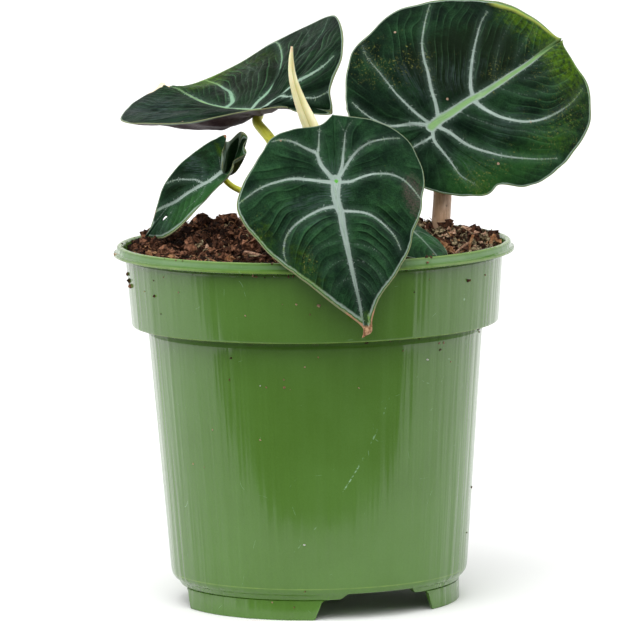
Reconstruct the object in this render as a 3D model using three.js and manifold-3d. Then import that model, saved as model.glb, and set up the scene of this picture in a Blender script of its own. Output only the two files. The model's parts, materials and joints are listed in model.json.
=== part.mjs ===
// A black velvet alocasia in a green plastic nursery pot: three grown leaves, two young ones,
// one leaf still rolled up, their stalks, the soil mound and the pot.
// Millimetres, +Z up. The pot's axis is x = y = 0 while the pieces are made, and the whole plant
// is then moved so that the origin is the centre of the foot of its bounding box.
import * as THREE from "three";
import { mergeVertices } from "three/addons/utils/BufferGeometryUtils.js";
import Module from "manifold-3d";

const wasm = await Module();
wasm.setup();

// A nursery pot, 12 cm across the lip. The outlines are [radius, height], and the outer face
// goes up from the ground: foot ring, groove, seam and body, collar, then the lip.
const POT = {
  height: 108,
  segments: 56,
  under: [
    [0, 8],
    [39.4, 8],
    [40.3, 4.6],
    [40.7, 0],
  ],
  foot: [
    [42, 0],
    [42, 4.25],
    [41.65, 4.6],
    [42.1, 4.95],
  ],
  body: [
    [42.8, 7.4],
    [44.2, 9.8],
    [49.8, 79],
    [51.6, 82.2],
  ],
  collar: [
    [54.5, 83.7],
    [55, 84.9],
    [56.4, 103.2],
  ],
  lip: [
    [57.4, 104.7],
    [60, 105.6],
    [60, 107.6],
    [59.5, 108],
    [57.4, 108],
  ],
  inside: [
    [56.9, 107.4],
    [55.1, 103.2],
    [53.7, 85.8],
    [51.6, 83.7],
    [48.5, 79.8],
    [42.9, 10.2],
    [42.3, 9.3],
    [0, 9.3],
  ],
};
// The gaps between the feet: [half width, height], the bearing of the first, in degrees from
// the front towards the right, and the span of radii that the cut goes through.
const GAPS = {
  count: 3,
  first: 25.5,
  span: [25, 55],
  outline: [
    [19.5, -1],
    [17.7, 3.8],
    [16.1, 5.6],
    [11.2, 7.6],
  ],
};

// Soil: the top is a low dome with heaps and, where a height is negative, hollows, and with
// lumps made of crossing waves.
const SOIL = {
  clearance: 0.35,
  sideTop: 102,
  holesTo: 120,
  edge: 106.3,
  dome: 1.5,
  heaps: [
    { x: -28, y: 22, spreadX: 14.5, spreadY: 18, height: 6.6 },
    { x: 41, y: 8, spreadX: 11, spreadY: 15, height: 4.6 },
    { x: 35, y: -35, spreadX: 10, spreadY: 10, height: -4.4 },
    { x: -46, y: 0, spreadX: 6, spreadY: 6, height: -1.4 },
  ],
  lump: 0.4,
  waves: [
    { x: 0.55, y: 0.62, shift: 1.3 },
    { x: 0.58, y: -0.66, shift: 0.4 },
    { x: 0.95, y: -0.2, shift: 2 },
  ],
  rings: [52, 46.5, 40, 33, 26, 19, 12, 6],
  segments: 52,
};

// Leaf blades.
const BLADE = {
  thickness: 0.9,
  thinning: 0.25, // how much thinner the margin is
  veinRib: 0.5, // under a side vein
  midRib: 0.9, // under the midrib, at the stalk
  groove: 0.15, // over a vein
  veinWidth: 0.1, // as a share of the way to the next row
  veinFade: 0.6, // how much of a side vein's height is lost on the way to the margin
  fullness: 0.8, // how evenly the blade puffs up between its veins
  valley: 2.5, // half width of the rounded fold along the midrib
  steps: [0, 0.07, 0.22, 0.42, 0.63, 0.83, 1],
  youngSteps: [0, 0.1, 0.37, 0.68, 1],
};

// A blade's flat pattern is measured from the place where the stalk joins it: f towards the
// tip, s to the left of somebody who faces the tip. A row runs from the midrib to the margin.
// It has its start on the midrib and, for each half, its end [f, s], then how far its middle
// bows towards the base, how far its end lifts and how far its middle sags. vein is the
// strength of the vein along it, and 0 where it only carries the outline.
const row = (root, left, right, vein, rightVein = vein) => ({
  root,
  ends: [left, right],
  veins: [vein, rightVein],
});

// at, heading, pitch and roll place the blade. Over reach it bends down by droop towards the
// tip and by back towards the base. Each half, left then right, rises by cup at the midrib,
// more by twist towards the tip, and bends on by curl over the half width.
const FRONT_LEAF = {
  at: [6.8, -52, 130.9],
  heading: -68,
  pitch: -61,
  roll: 16,
  reach: 46,
  half: 28,
  droop: 26,
  back: -16,
  cup: [5, 5],
  curl: [-22, -22],
  twist: [0, 0],
  quilt: 1.2,
  notch: { end: [-20.5, 3], lift: 0 },
  tip: { f: 46.8, lift: 0 },
  rows: [
    row(0, [-19.2, 7.1, -1], [-18, -1.5, -2.5], 1),
    row(0, [-17, 14, 1.5], [-18, -9.5, 0.8], 0),
    row(0, [-10.5, 22.8, 7], [-16.3, -16.3, 4], 1),
    row(0, [0, 26, 8], [-10, -22.2, 5], 0),
    row(0, [9.4, 24.3, 10], [0.2, -30, 7], 1),
    row(4, [17.5, 20.5, 9], [12.5, -27, 9], 0),
    row(8, [25, 16.4, 7.5], [22.4, -20, 11], 1),
    row(18, [30.3, 12, 4], [28.5, -14.3, 7.5], 0.5),
    row(26, [36, 6.2, 3], [36, -7.5, 4], 0.4),
    row(35, [41, 3, 1], [40.5, -3, 1], 0.3),
  ],
};

const RIGHT_LEAF = {
  at: [36.2, 6, 141.5],
  heading: 22,
  pitch: 31,
  roll: 67,
  reach: 50,
  half: 32,
  droop: 28,
  back: -12,
  cup: [3, 3],
  curl: [-22, -22],
  twist: [0, 0],
  quilt: 1.5,
  notch: { end: [-17, 0], lift: 0 },
  tip: { f: 55.5, lift: 0 },
  rows: [
    row(0, [-20, 6, 0], [-18, -5, -3], 1),
    row(0, [-20.5, 13, 2], [-13.5, -14.5, 1], 0),
    row(0, [-16, 22.5, 7], [0.3, -26, 5], 1),
    row(0, [-8, 31.3, 7], [7, -26.7, 5], 0),
    row(0, [0.6, 34.7, 6.5], [14, -31.6, 6], 1, 0),
    row(2, [15, 36, 8], [23, -32.6, 8], 0),
    row(4, [27.1, 32, 10], [33, -31.2, 9.5], 1),
    row(9, [37, 26.3, 9], [46, -26, 12], 0),
    row(15, [46, 19.8, 8.5], [54.3, -16.5, 18], 1),
    row(33, [52, 11, 4], [54.3, -8, 5], 0.3),
  ],
};

const LEFT_LEAF = {
  at: [-16, 24, 145.7],
  heading: 123.5,
  pitch: -6.5,
  roll: 0,
  reach: 50,
  half: 32,
  droop: -19,
  back: 6,
  cup: [-7, 29.5],
  curl: [0, 15],
  twist: [-2, -9],
  quilt: 1.5,
  notch: { end: [-16.5, 0], lift: 0 },
  tip: { f: 53.8, lift: -1.5 },
  rows: [
    row(0, [-17.5, 4.3, 0, 0.8, 1.4], [-19.4, -8.3, 0, -8.4], 1),
    row(0, [-12.6, 12.9, 3, 1.1, 2.1], [-19.9, -16.5, 1, -3.8], 0, 1),
    row(0, [0, 22.6, 5, 0.4, 3], [-15.5, -26, 6, -0.4], 1),
    row(0, [8.7, 24.5, 5, 0.4, 4.4], [0, -41.5, 6.5, 1.8], 0, 0.6),
    row(2, [19.4, 28, 7, 0.8, 2.4], [19, -42, 8, 1.8], 0),
    row(4, [31.2, 26.8, 9.5, -0.6, 0.8], [35.4, -32.5, 11, 1.5], 1),
    row(10, [42.7, 22.8, 12, -2.4], [43.2, -24.2, 9, -0.3], 0),
    row(15.5, [51.4, 13.8, 13, -2.5], [50.5, -12.5, 9, -2], 1),
    row(32, [52.6, 7.7, 4, -1], [53, -6.5, 3, -2], 0.3),
  ],
};

const YOUNG_LEFT_LEAF = {
  at: [-27.1, 2, 129.1],
  heading: 204,
  pitch: -21,
  roll: -48,
  reach: 29,
  half: 16,
  droop: 64,
  back: -10,
  cup: [12, 16],
  curl: [0, 0],
  twist: [0, 0],
  quilt: 0.7,
  notch: { end: [-4, 0], lift: 9 },
  tip: { f: 31, lift: 0 },
  rows: [
    row(0, [-6.5, 6, 1, 18.5], [-6.5, -6, 0, 5], 1),
    row(0, [-6, 8.5, 1, 16], [-6.6, -9.8, 1], 0),
    row(0, [-0.5, 9, 1, 12], [1.5, -9.3, 2], 1),
    row(0, [5, 8.5, 1, 6.5], [9.5, -8.6, 2], 0),
    row(3, [13, 8.5, 2, 2], [16, -6.8, 3], 1),
    row(9, [21, 8.2, 2, 0.5], [22, -3.8, 2], 0.5),
    row(16, [27, 6, 1], [27, -2, 1], 0),
  ],
};

const YOUNG_RIGHT_LEAF = {
  at: [29.5, -20, 112.5],
  heading: -65,
  pitch: -16,
  roll: 0,
  reach: 24,
  half: 12,
  droop: 14,
  back: -10,
  cup: [-22, -18],
  curl: [-14, -10],
  twist: [0, 0],
  quilt: 0.6,
  notch: { end: [-7, 0], lift: 0 },
  tip: { f: 23, lift: 0 },
  rows: [
    row(0, [-9, 3], [-9, -3.5], 1),
    row(0, [-6.5, 6.5, 1], [-6.5, -8.5, 1], 0),
    row(0, [1, 8.5, 2], [1, -11, 2], 1),
    row(3, [9, 7.5, 3], [9, -9.5, 3], 1),
    row(8, [16.5, 4, 2], [16.5, -5, 2], 0.5),
  ],
};

// Stalks: each stands upright in a hole in the soil, and its path is followed by its radii.
const HOLE_GAP = 0.4;
const STALKS = {
  front_stalk: {
    path: [
      [13, -4.5, 88],
      [13, -4.5, 104],
      [13, -4.5, 108.5],
      [12.4, -10, 116],
      [10, -26, 122.5],
      [7.4, -40, 125.4],
      [6.4, -46.2, 127.8],
      [6.7, -50.4, 130],
    ],
    radii: [2, 2, 2, 1.9, 1.7, 1.6, 1.5, 1.5],
  },
  right_stalk: {
    path: [
      [38.3, 8.5, 88],
      [38.3, 8.5, 108],
      [38.3, 8.5, 112.5],
      [38.9, 9, 122],
      [38.3, 11.6, 132],
      [35.5, 10.8, 139.4],
      [35.9, 7.9, 140.8],
    ],
    radii: [2.8, 2.8, 2.75, 2.55, 2.1, 1.8, 1.6],
  },
  left_stalk: {
    path: [
      [15.5, 5.5, 88],
      [15.5, 5.5, 104.5],
      [15.5, 5.5, 109],
      [11, 8, 115.5],
      [1.5, 11.5, 123],
      [-7.2, 14.5, 131.5],
      [-12, 17.5, 137.6],
      [-15.4, 22.2, 141],
      [-15.9, 23.5, 142.9],
    ],
    radii: [1.9, 1.9, 1.9, 1.8, 1.7, 1.6, 1.5, 1.5, 1.5],
  },
  young_left_stalk: {
    path: [
      [3.5, -3, 90],
      [3.5, -3, 104.5],
      [3.5, -3, 109],
      [-0.5, -1.7, 112.2],
      [-10, 2, 117.4],
      [-18, 4.4, 121.4],
      [-24.2, 5.2, 124.4],
      [-27.2, 3.5, 127.8],
    ],
    radii: [1.2, 1.2, 1.2, 1.1, 1, 1, 0.9, 0.9],
  },
  young_right_stalk: {
    path: [
      [24, -10, 92],
      [24, -10, 104.5],
      [24, -10, 108.6],
      [25.4, -13, 110.9],
      [28, -17.6, 111],
    ],
    radii: [1, 1, 1, 0.9, 0.8],
  },
};
const ROLLED_LEAF = {
  path: [
    [9.5, 1.5, 88],
    [9.5, 1.5, 105],
    [9.5, 1.5, 108.5],
    [8.2, 1.2, 118],
    [4.4, 0.6, 130],
    [-0.4, 0, 142.4],
    [-3.3, 0, 149.6],
    [-5.4, 0, 156.6],
    [-5.9, 0, 162],
    [-5.6, 0, 166.5],
  ],
  radii: [2.7, 2.9, 2.9, 3, 3, 2.85, 2.1, 1.35, 0.85, 0.35],
};
const STALK_SIDES = 9;
const STEPS_PER_SPAN = 2;

const COLOURS = {
  pot: { color: 0x4f8a3b, roughness: 0.42, metalness: 0 },
  soil: { color: 0x40281a, roughness: 1, metalness: 0 },
  blade: { color: 0x1e3a29, roughness: 0.62, metalness: 0 },
  greenStalk: { color: 0x9c9a38, roughness: 0.55, metalness: 0 },
  tanStalk: { color: 0xa9886d, roughness: 0.7, metalness: 0 },
  rolled: { color: 0xe4dfa0, roughness: 0.5, metalness: 0 },
};

// A closed geometry from loose triangles: shared corners are merged, slivers that collapse
// are dropped, and the faces are turned to point out.
function closed(geometry) {
  const bare = new THREE.BufferGeometry().setAttribute("position", geometry.getAttribute("position"));
  if (geometry.index) bare.setIndex(geometry.index);
  const merged = mergeVertices(bare, 1e-3);
  const all = merged.index.array;
  const point = [0, 1, 2].map(() => new THREE.Vector3());
  const kept = [];
  let volume = 0;
  for (let i = 0; i < all.length; i += 3) {
    const [a, b, c] = all.slice(i, i + 3);
    if (a === b || b === c || c === a) continue;
    kept.push(a, b, c);
    [a, b, c].forEach((v, k) => point[k].fromBufferAttribute(merged.attributes.position, v));
    volume += point[0].dot(point[1].cross(point[2]));
  }
  if (volume < 0) kept.reverse();
  return merged.setIndex(kept);
}

function toSolid(geometry) {
  const { attributes, index } = closed(geometry);
  return new wasm.Manifold(
    new wasm.Mesh({
      numProp: 3,
      vertProperties: new Float32Array(attributes.position.array),
      triVerts: new Uint32Array(index.array),
    }),
  );
}

function toGeometry(solid) {
  const { vertProperties, triVerts } = solid.getMesh();
  return new THREE.BufferGeometry()
    .setAttribute("position", new THREE.BufferAttribute(vertProperties, 3))
    .setIndex(new THREE.BufferAttribute(triVerts, 1));
}

// A profile [radius, z] turned about the Z axis.
function turned(profile, segments) {
  const points = profile.map(([radius, z]) => new THREE.Vector2(radius, z));
  return new THREE.LatheGeometry(points, segments).rotateX(Math.PI / 2);
}

function pot() {
  const { under, foot, body, collar, lip, inside, segments } = POT;
  let solid = toSolid(turned([...under, ...foot, ...body, ...collar, ...lip, ...inside], segments));
  const halfOutline = GAPS.outline.map(([x, z]) => new THREE.Vector2(x, z));
  const otherHalf = halfOutline.map(({ x, y }) => new THREE.Vector2(-x, y)).reverse();
  const opening = new THREE.Shape([...halfOutline, ...otherHalf]);
  const [near, far] = GAPS.span;
  for (let i = 0; i < GAPS.count; i++) {
    const cutter = new THREE.ExtrudeGeometry(opening, { depth: far - near, bevelEnabled: false })
      .rotateX(Math.PI / 2)
      .translate(0, -near, 0)
      .rotateZ(THREE.MathUtils.degToRad(GAPS.first + (360 / GAPS.count) * i));
    solid = solid.subtract(toSolid(cutter));
  }
  return toGeometry(solid);
}

function soilHeight(x, y) {
  const dome = SOIL.dome * (1 - (x * x + y * y) / SOIL.rings[0] ** 2);
  const heap = SOIL.heaps.reduce((sum, h) => {
    const away = ((x - h.x) / h.spreadX) ** 2 + ((y - h.y) / h.spreadY) ** 2;
    return sum + h.height * Math.exp(-away / 2);
  }, 0);
  const lumps = SOIL.waves.reduce((sum, w) => sum + Math.sin(w.x * x + w.y * y + w.shift), 0);
  return SOIL.edge + dome + heap + SOIL.lump * lumps;
}

// How wide the pot is inside at a height.
function wallRadius(z) {
  const lower = Math.max(1, POT.inside.findIndex((point) => point[1] <= z));
  const [[r1, z1], [r0, z0]] = POT.inside.slice(lower - 1, lower + 1);
  return r0 + ((r1 - r0) * (z - z0)) / (z1 - z0);
}

function soil() {
  const { clearance, sideTop, rings } = SOIL;
  const side = POT.inside
    .filter(([, z]) => z < sideTop)
    .map(([radius, z]) => [Math.max(0, radius - clearance), z + clearance])
    .reverse();
  side.push([wallRadius(sideTop) - 1.4 * clearance, sideTop]);
  const top = [rings[0] + 5, ...rings, 0].map((radius) => [radius, POT.height]);
  const profile = [...side, ...top];
  const geometry = turned(profile, SOIL.segments);
  const place = geometry.getAttribute("position");
  for (let i = 0; i < place.count; i++) {
    if (place.getZ(i) < sideTop + 1) continue;
    const [x, y] = [place.getX(i), place.getY(i)];
    const z = Math.max(soilHeight(x, y), sideTop + 0.3);
    const radius = Math.hypot(x, y);
    const shrink = radius > rings[0] + 1 ? (wallRadius(z) - 2.8 * clearance) / radius : 1;
    place.setXYZ(i, x * shrink, y * shrink, z);
  }
  let solid = toSolid(geometry);
  for (const { path, radii } of [...Object.values(STALKS), ROLLED_LEAF]) {
    const [x, y, foot] = path[0];
    const radius = Math.max(radii[0], radii[1]) + HOLE_GAP;
    const depth = SOIL.holesTo - foot;
    const hole = new THREE.CylinderGeometry(radius, radius, depth, 14)
      .rotateX(Math.PI / 2)
      .translate(x, y, foot - HOLE_GAP + depth / 2);
    solid = solid.subtract(toSolid(hole));
  }
  return toGeometry(solid);
}

// A lathe-turned rod bent along a smooth path, so that its ring i sits at path step i.
function stalk({ path, radii }) {
  const curve = new THREE.CatmullRomCurve3(path.map((p) => new THREE.Vector3(...p)));
  const spans = path.length - 1;
  const rings = spans * STEPS_PER_SPAN;
  const radiusAt = (i) => {
    const k = Math.min(Math.floor(i / STEPS_PER_SPAN), spans - 1);
    return THREE.MathUtils.lerp(radii[k], radii[k + 1], i / STEPS_PER_SPAN - k);
  };
  const outline = [new THREE.Vector2(0, 0)];
  for (let i = 0; i <= rings; i++) outline.push(new THREE.Vector2(radiusAt(i), i));
  outline.push(new THREE.Vector2(0, rings));
  const geometry = new THREE.LatheGeometry(outline, STALK_SIDES);
  const place = geometry.getAttribute("position");
  const across = new THREE.Vector3(0, 1, 0);
  for (let v = 0; v < place.count; v++) {
    const u = Math.round(place.getY(v)) / rings;
    const along = curve.getTangent(u);
    const side = new THREE.Vector3().crossVectors(along, across).normalize();
    const up = new THREE.Vector3().crossVectors(side, along);
    const at = curve
      .getPoint(u)
      .addScaledVector(side, place.getX(v))
      .addScaledVector(up, place.getZ(v));
    place.setXYZ(v, at.x, at.y, at.z);
  }
  return closed(geometry);
}

// The end of an arc of length s that starts at angle a0 and turns by k for each millimetre.
function arc(a0, k, s) {
  if (Math.abs(k) < 1e-9) return [s * Math.cos(a0), s * Math.sin(a0)];
  return [(Math.sin(a0 + k * s) - Math.sin(a0)) / k, (Math.cos(a0) - Math.cos(a0 + k * s)) / k];
}

// Where the pattern's point (f, s), raised by h off the blade, is on the bent and placed leaf.
function onLeaf(leaf, f, s, h) {
  const rad = THREE.MathUtils.degToRad;
  const half = s < 0 ? 1 : 0;
  const cup = rad(leaf.cup[half] + (leaf.twist[half] * f) / leaf.reach);
  const curl = rad(leaf.curl[half]) / leaf.half;
  const near = Math.min(Math.abs(s), BLADE.valley);
  const far = Math.abs(s) - near;
  const [y1, z1] = arc(0, cup / BLADE.valley, near);
  const [y2, z2] = arc(cup, curl, far);
  const lean = (cup * near) / BLADE.valley + curl * far;
  const across = y1 + y2 - Math.sin(lean) * h;
  const rise = z1 + z2 + Math.cos(lean) * h;
  const k = rad(f > 0 ? leaf.droop : leaf.back) / leaf.reach;
  const [forward, drop] = arc(0, k, f);
  const [heading, pitch, roll] = [rad(leaf.heading), rad(leaf.pitch), rad(leaf.roll)];
  const tipward = new THREE.Vector3(
    Math.cos(pitch) * Math.cos(heading),
    Math.cos(pitch) * Math.sin(heading),
    Math.sin(pitch),
  );
  const level = new THREE.Vector3(-Math.sin(heading), Math.cos(heading), 0);
  const up = new THREE.Vector3().crossVectors(tipward, level);
  const side = level.clone().multiplyScalar(Math.cos(roll)).addScaledVector(up, Math.sin(roll));
  const normal = up.multiplyScalar(Math.cos(roll)).addScaledVector(level, -Math.sin(roll));
  return new THREE.Vector3(...leaf.at)
    .addScaledVector(tipward, forward + rise * Math.sin(k * f))
    .addScaledVector(side, half ? -across : across)
    .addScaledVector(normal, rise * Math.cos(k * f) - drop);
}

// A smooth curve through values that stand at 0, 1, 2 and so on.
function through(values, w) {
  const last = values.length - 1;
  const i = Math.min(Math.floor(w), last - 1);
  const [b, c] = [values[i], values[i + 1]];
  const a = i > 0 ? values[i - 1] : 2 * b - c;
  const d = i + 2 <= last ? values[i + 2] : 2 * c - b;
  const u = w - i;
  return 0.5 * (2 * b + (c - a) * u + (2 * a - 5 * b + 4 * c - d) * u * u + (3 * (b - c) + d - a) * u ** 3);
}

// All rows of a blade, from the notch between its back lobes to its tip.
function allRows({ notch, rows, tip }) {
  const start = [...notch.end, 0, notch.lift, 0];
  const end = [tip.f, 0, 0, tip.lift, 0];
  const padded = rows.map((r) => ({ ...r, ends: r.ends.map((e) => [...e, 0, 0, 0].slice(0, 5)) }));
  return [row(0, start, start, 0), ...padded, row(tip.f, end, end, 0)];
}

// The two skins at row w and share t of the way to the margin: [top, bottom].
function skins(leaf, rows, half, w, share) {
  const t = w === rows.length - 1 ? 1 : share;
  const low = Math.min(Math.floor(w), rows.length - 2);
  const root = THREE.MathUtils.lerp(rows[low].root, rows[low + 1].root, w - low);
  const [ef, es, bow, lift, sag] = [0, 1, 2, 3, 4].map((k) =>
    through(rows.map((r) => r.ends[half][k]), w),
  );
  const chord = Math.hypot(ef - root, es) + 1e-9;
  const middleF = (root + ef) / 2 - (Math.abs(es) / chord) * bow;
  const middleS = es / 2 + ((half ? -1 : 1) * (ef - root) * bow) / chord;
  const f = (1 - t) ** 2 * root + 2 * t * (1 - t) * middleF + t * t * ef;
  const s = 2 * t * (1 - t) * middleS + t * t * es;
  const nearest = Math.round(w);
  const vein = rows[nearest].veins[half];
  const off = Math.abs(w - nearest);
  const onVein = t === 0 ? 1 : vein * Math.max(0, 1 - off / BLADE.veinWidth) * (1 - BLADE.veinFade * t);
  const puff = leaf.quilt * (1 - vein * Math.max(0, 1 - 2 * off)) * Math.sin(Math.PI * t) ** BLADE.fullness;
  const h = lift * t * t - sag * 4 * t * (1 - t) + (t > 0 && t < 1 ? puff : 0);
  const core = (BLADE.thickness - BLADE.thinning * t ** 4) / 2;
  const rib = t === 0 ? BLADE.midRib * (1 - root / leaf.tip.f) : BLADE.veinRib * onVein;
  return [
    onLeaf(leaf, f, s, h + core - BLADE.groove * onVein),
    onLeaf(leaf, f, s, h - core - rib),
  ];
}

// A blade: two skins over the same grid in each half, and a strip that joins them at the margin.
function blade(leaf, steps) {
  const rows = allRows(leaf);
  const lines = [];
  rows.forEach(({ veins }, i) => {
    const ribbed = Math.max(...veins) > 0;
    if (ribbed) lines.push(i - BLADE.veinWidth);
    lines.push(i);
    if (ribbed) lines.push(i + BLADE.veinWidth);
    if (i < rows.length - 1) lines.push(i + 0.5);
  });
  const corners = [];
  const face = (half, top, ...points) => {
    const flip = (half === 1) === top;
    for (const p of flip ? points.reverse() : points) corners.push(p.x, p.y, p.z);
  };
  for (const half of [0, 1]) {
    const grid = lines.map((w) => steps.map((t) => skins(leaf, rows, half, w, t)));
    for (let i = 0; i + 1 < grid.length; i++) {
      for (let j = 0; j + 1 < steps.length; j++) {
        for (const skin of [0, 1]) {
          const [a, b] = [grid[i][j][skin], grid[i + 1][j][skin]];
          const [c, d] = [grid[i + 1][j + 1][skin], grid[i][j + 1][skin]];
          face(half, skin === 0, a, b, c);
          face(half, skin === 0, a, c, d);
        }
      }
      const [a, b] = [grid[i].at(-1), grid[i + 1].at(-1)];
      face(half, true, a[0], b[0], b[1]);
      face(half, true, a[0], b[1], a[1]);
    }
  }
  const loose = new THREE.BufferGeometry();
  loose.setAttribute("position", new THREE.Float32BufferAttribute(corners, 3));
  return closed(loose);
}

function piece(name, geometry, colour) {
  const mesh = new THREE.Mesh(geometry, new THREE.MeshStandardMaterial(colour));
  mesh.name = name;
  geometry.computeVertexNormals();
  return mesh;
}

const plant = new THREE.Group();
plant.add(
  piece("pot", pot(), COLOURS.pot),
  piece("soil", soil(), COLOURS.soil),
  piece("front_blade", blade(FRONT_LEAF, BLADE.steps), COLOURS.blade),
  piece("right_blade", blade(RIGHT_LEAF, BLADE.steps), COLOURS.blade),
  piece("left_blade", blade(LEFT_LEAF, BLADE.steps), COLOURS.blade),
  piece("young_left_blade", blade(YOUNG_LEFT_LEAF, BLADE.youngSteps), COLOURS.blade),
  piece("young_right_blade", blade(YOUNG_RIGHT_LEAF, BLADE.youngSteps), COLOURS.blade),
  piece("rolled_leaf", stalk(ROLLED_LEAF), COLOURS.rolled),
);
for (const [name, shape] of Object.entries(STALKS)) {
  plant.add(piece(name, stalk(shape), name === "right_stalk" ? COLOURS.tanStalk : COLOURS.greenStalk));
}

const box = new THREE.Box3().setFromObject(plant);
plant.position.set(-(box.min.x + box.max.x) / 2, -(box.min.y + box.max.y) / 2, -box.min.z);

export default new THREE.Group().add(plant);
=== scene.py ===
"""Dresses a potted black velvet alocasia: velvety blades with silvery veins, bent stalks, a leaf
still rolled up, crumbly soil and a green plastic nursery pot, on a pale studio floor.

Shapes are worked out in millimetres from the pot's axis, and made in metres in the frame."""

import json
import math
import random

import bmesh
import bpy
import numpy as np
from bpy.props import FloatProperty, FloatVectorProperty, IntProperty, PointerProperty
from mathutils import Matrix, Vector, noise

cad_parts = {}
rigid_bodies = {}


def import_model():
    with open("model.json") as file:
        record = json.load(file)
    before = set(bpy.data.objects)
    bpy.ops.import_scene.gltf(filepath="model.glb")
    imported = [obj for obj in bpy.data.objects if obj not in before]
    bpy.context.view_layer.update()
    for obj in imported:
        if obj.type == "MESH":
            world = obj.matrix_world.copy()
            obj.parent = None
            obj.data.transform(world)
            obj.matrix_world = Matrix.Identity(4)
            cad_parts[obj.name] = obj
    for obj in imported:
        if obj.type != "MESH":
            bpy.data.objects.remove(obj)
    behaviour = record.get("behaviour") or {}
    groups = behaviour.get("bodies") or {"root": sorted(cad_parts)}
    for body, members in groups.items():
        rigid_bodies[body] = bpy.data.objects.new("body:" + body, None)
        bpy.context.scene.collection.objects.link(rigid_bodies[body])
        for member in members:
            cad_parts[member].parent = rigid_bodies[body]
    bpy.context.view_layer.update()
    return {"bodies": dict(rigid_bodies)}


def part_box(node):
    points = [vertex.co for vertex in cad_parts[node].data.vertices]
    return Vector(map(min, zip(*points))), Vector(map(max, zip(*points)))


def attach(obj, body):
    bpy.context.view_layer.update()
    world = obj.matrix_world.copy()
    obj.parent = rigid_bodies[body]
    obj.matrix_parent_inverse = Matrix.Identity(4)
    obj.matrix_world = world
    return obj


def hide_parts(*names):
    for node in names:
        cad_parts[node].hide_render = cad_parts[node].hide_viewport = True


bl_info = {
    "name": "Potted alocasia",
    "version": (1, 0, 0),
    "blender": (4, 5, 0),
    "location": "View3D > Sidebar > Alocasia",
    "description": "Builds a small velvet-leaved alocasia in a plastic nursery pot",
    "category": "Object",
}

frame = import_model()
POT_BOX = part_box("pot")
AXIS = Vector([(low + high) / 2 for low, high in zip(*POT_BOX)][:2] + [POT_BOX[0][2]])
MM = 0.001
(BODY,) = frame["bodies"]  # a plant has no joints, so it is one body


# The plant's shape


def row(root, left, right, vein, right_vein=None):
    """One line of a leaf's pattern, from the midrib to the margin on either side."""
    ends = [np.array([*end, 0, 0, 0][:5], float) for end in (left, right)]
    return {"root": root, "ends": ends, "veins": (vein, vein if right_vein is None else right_vein)}


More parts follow.
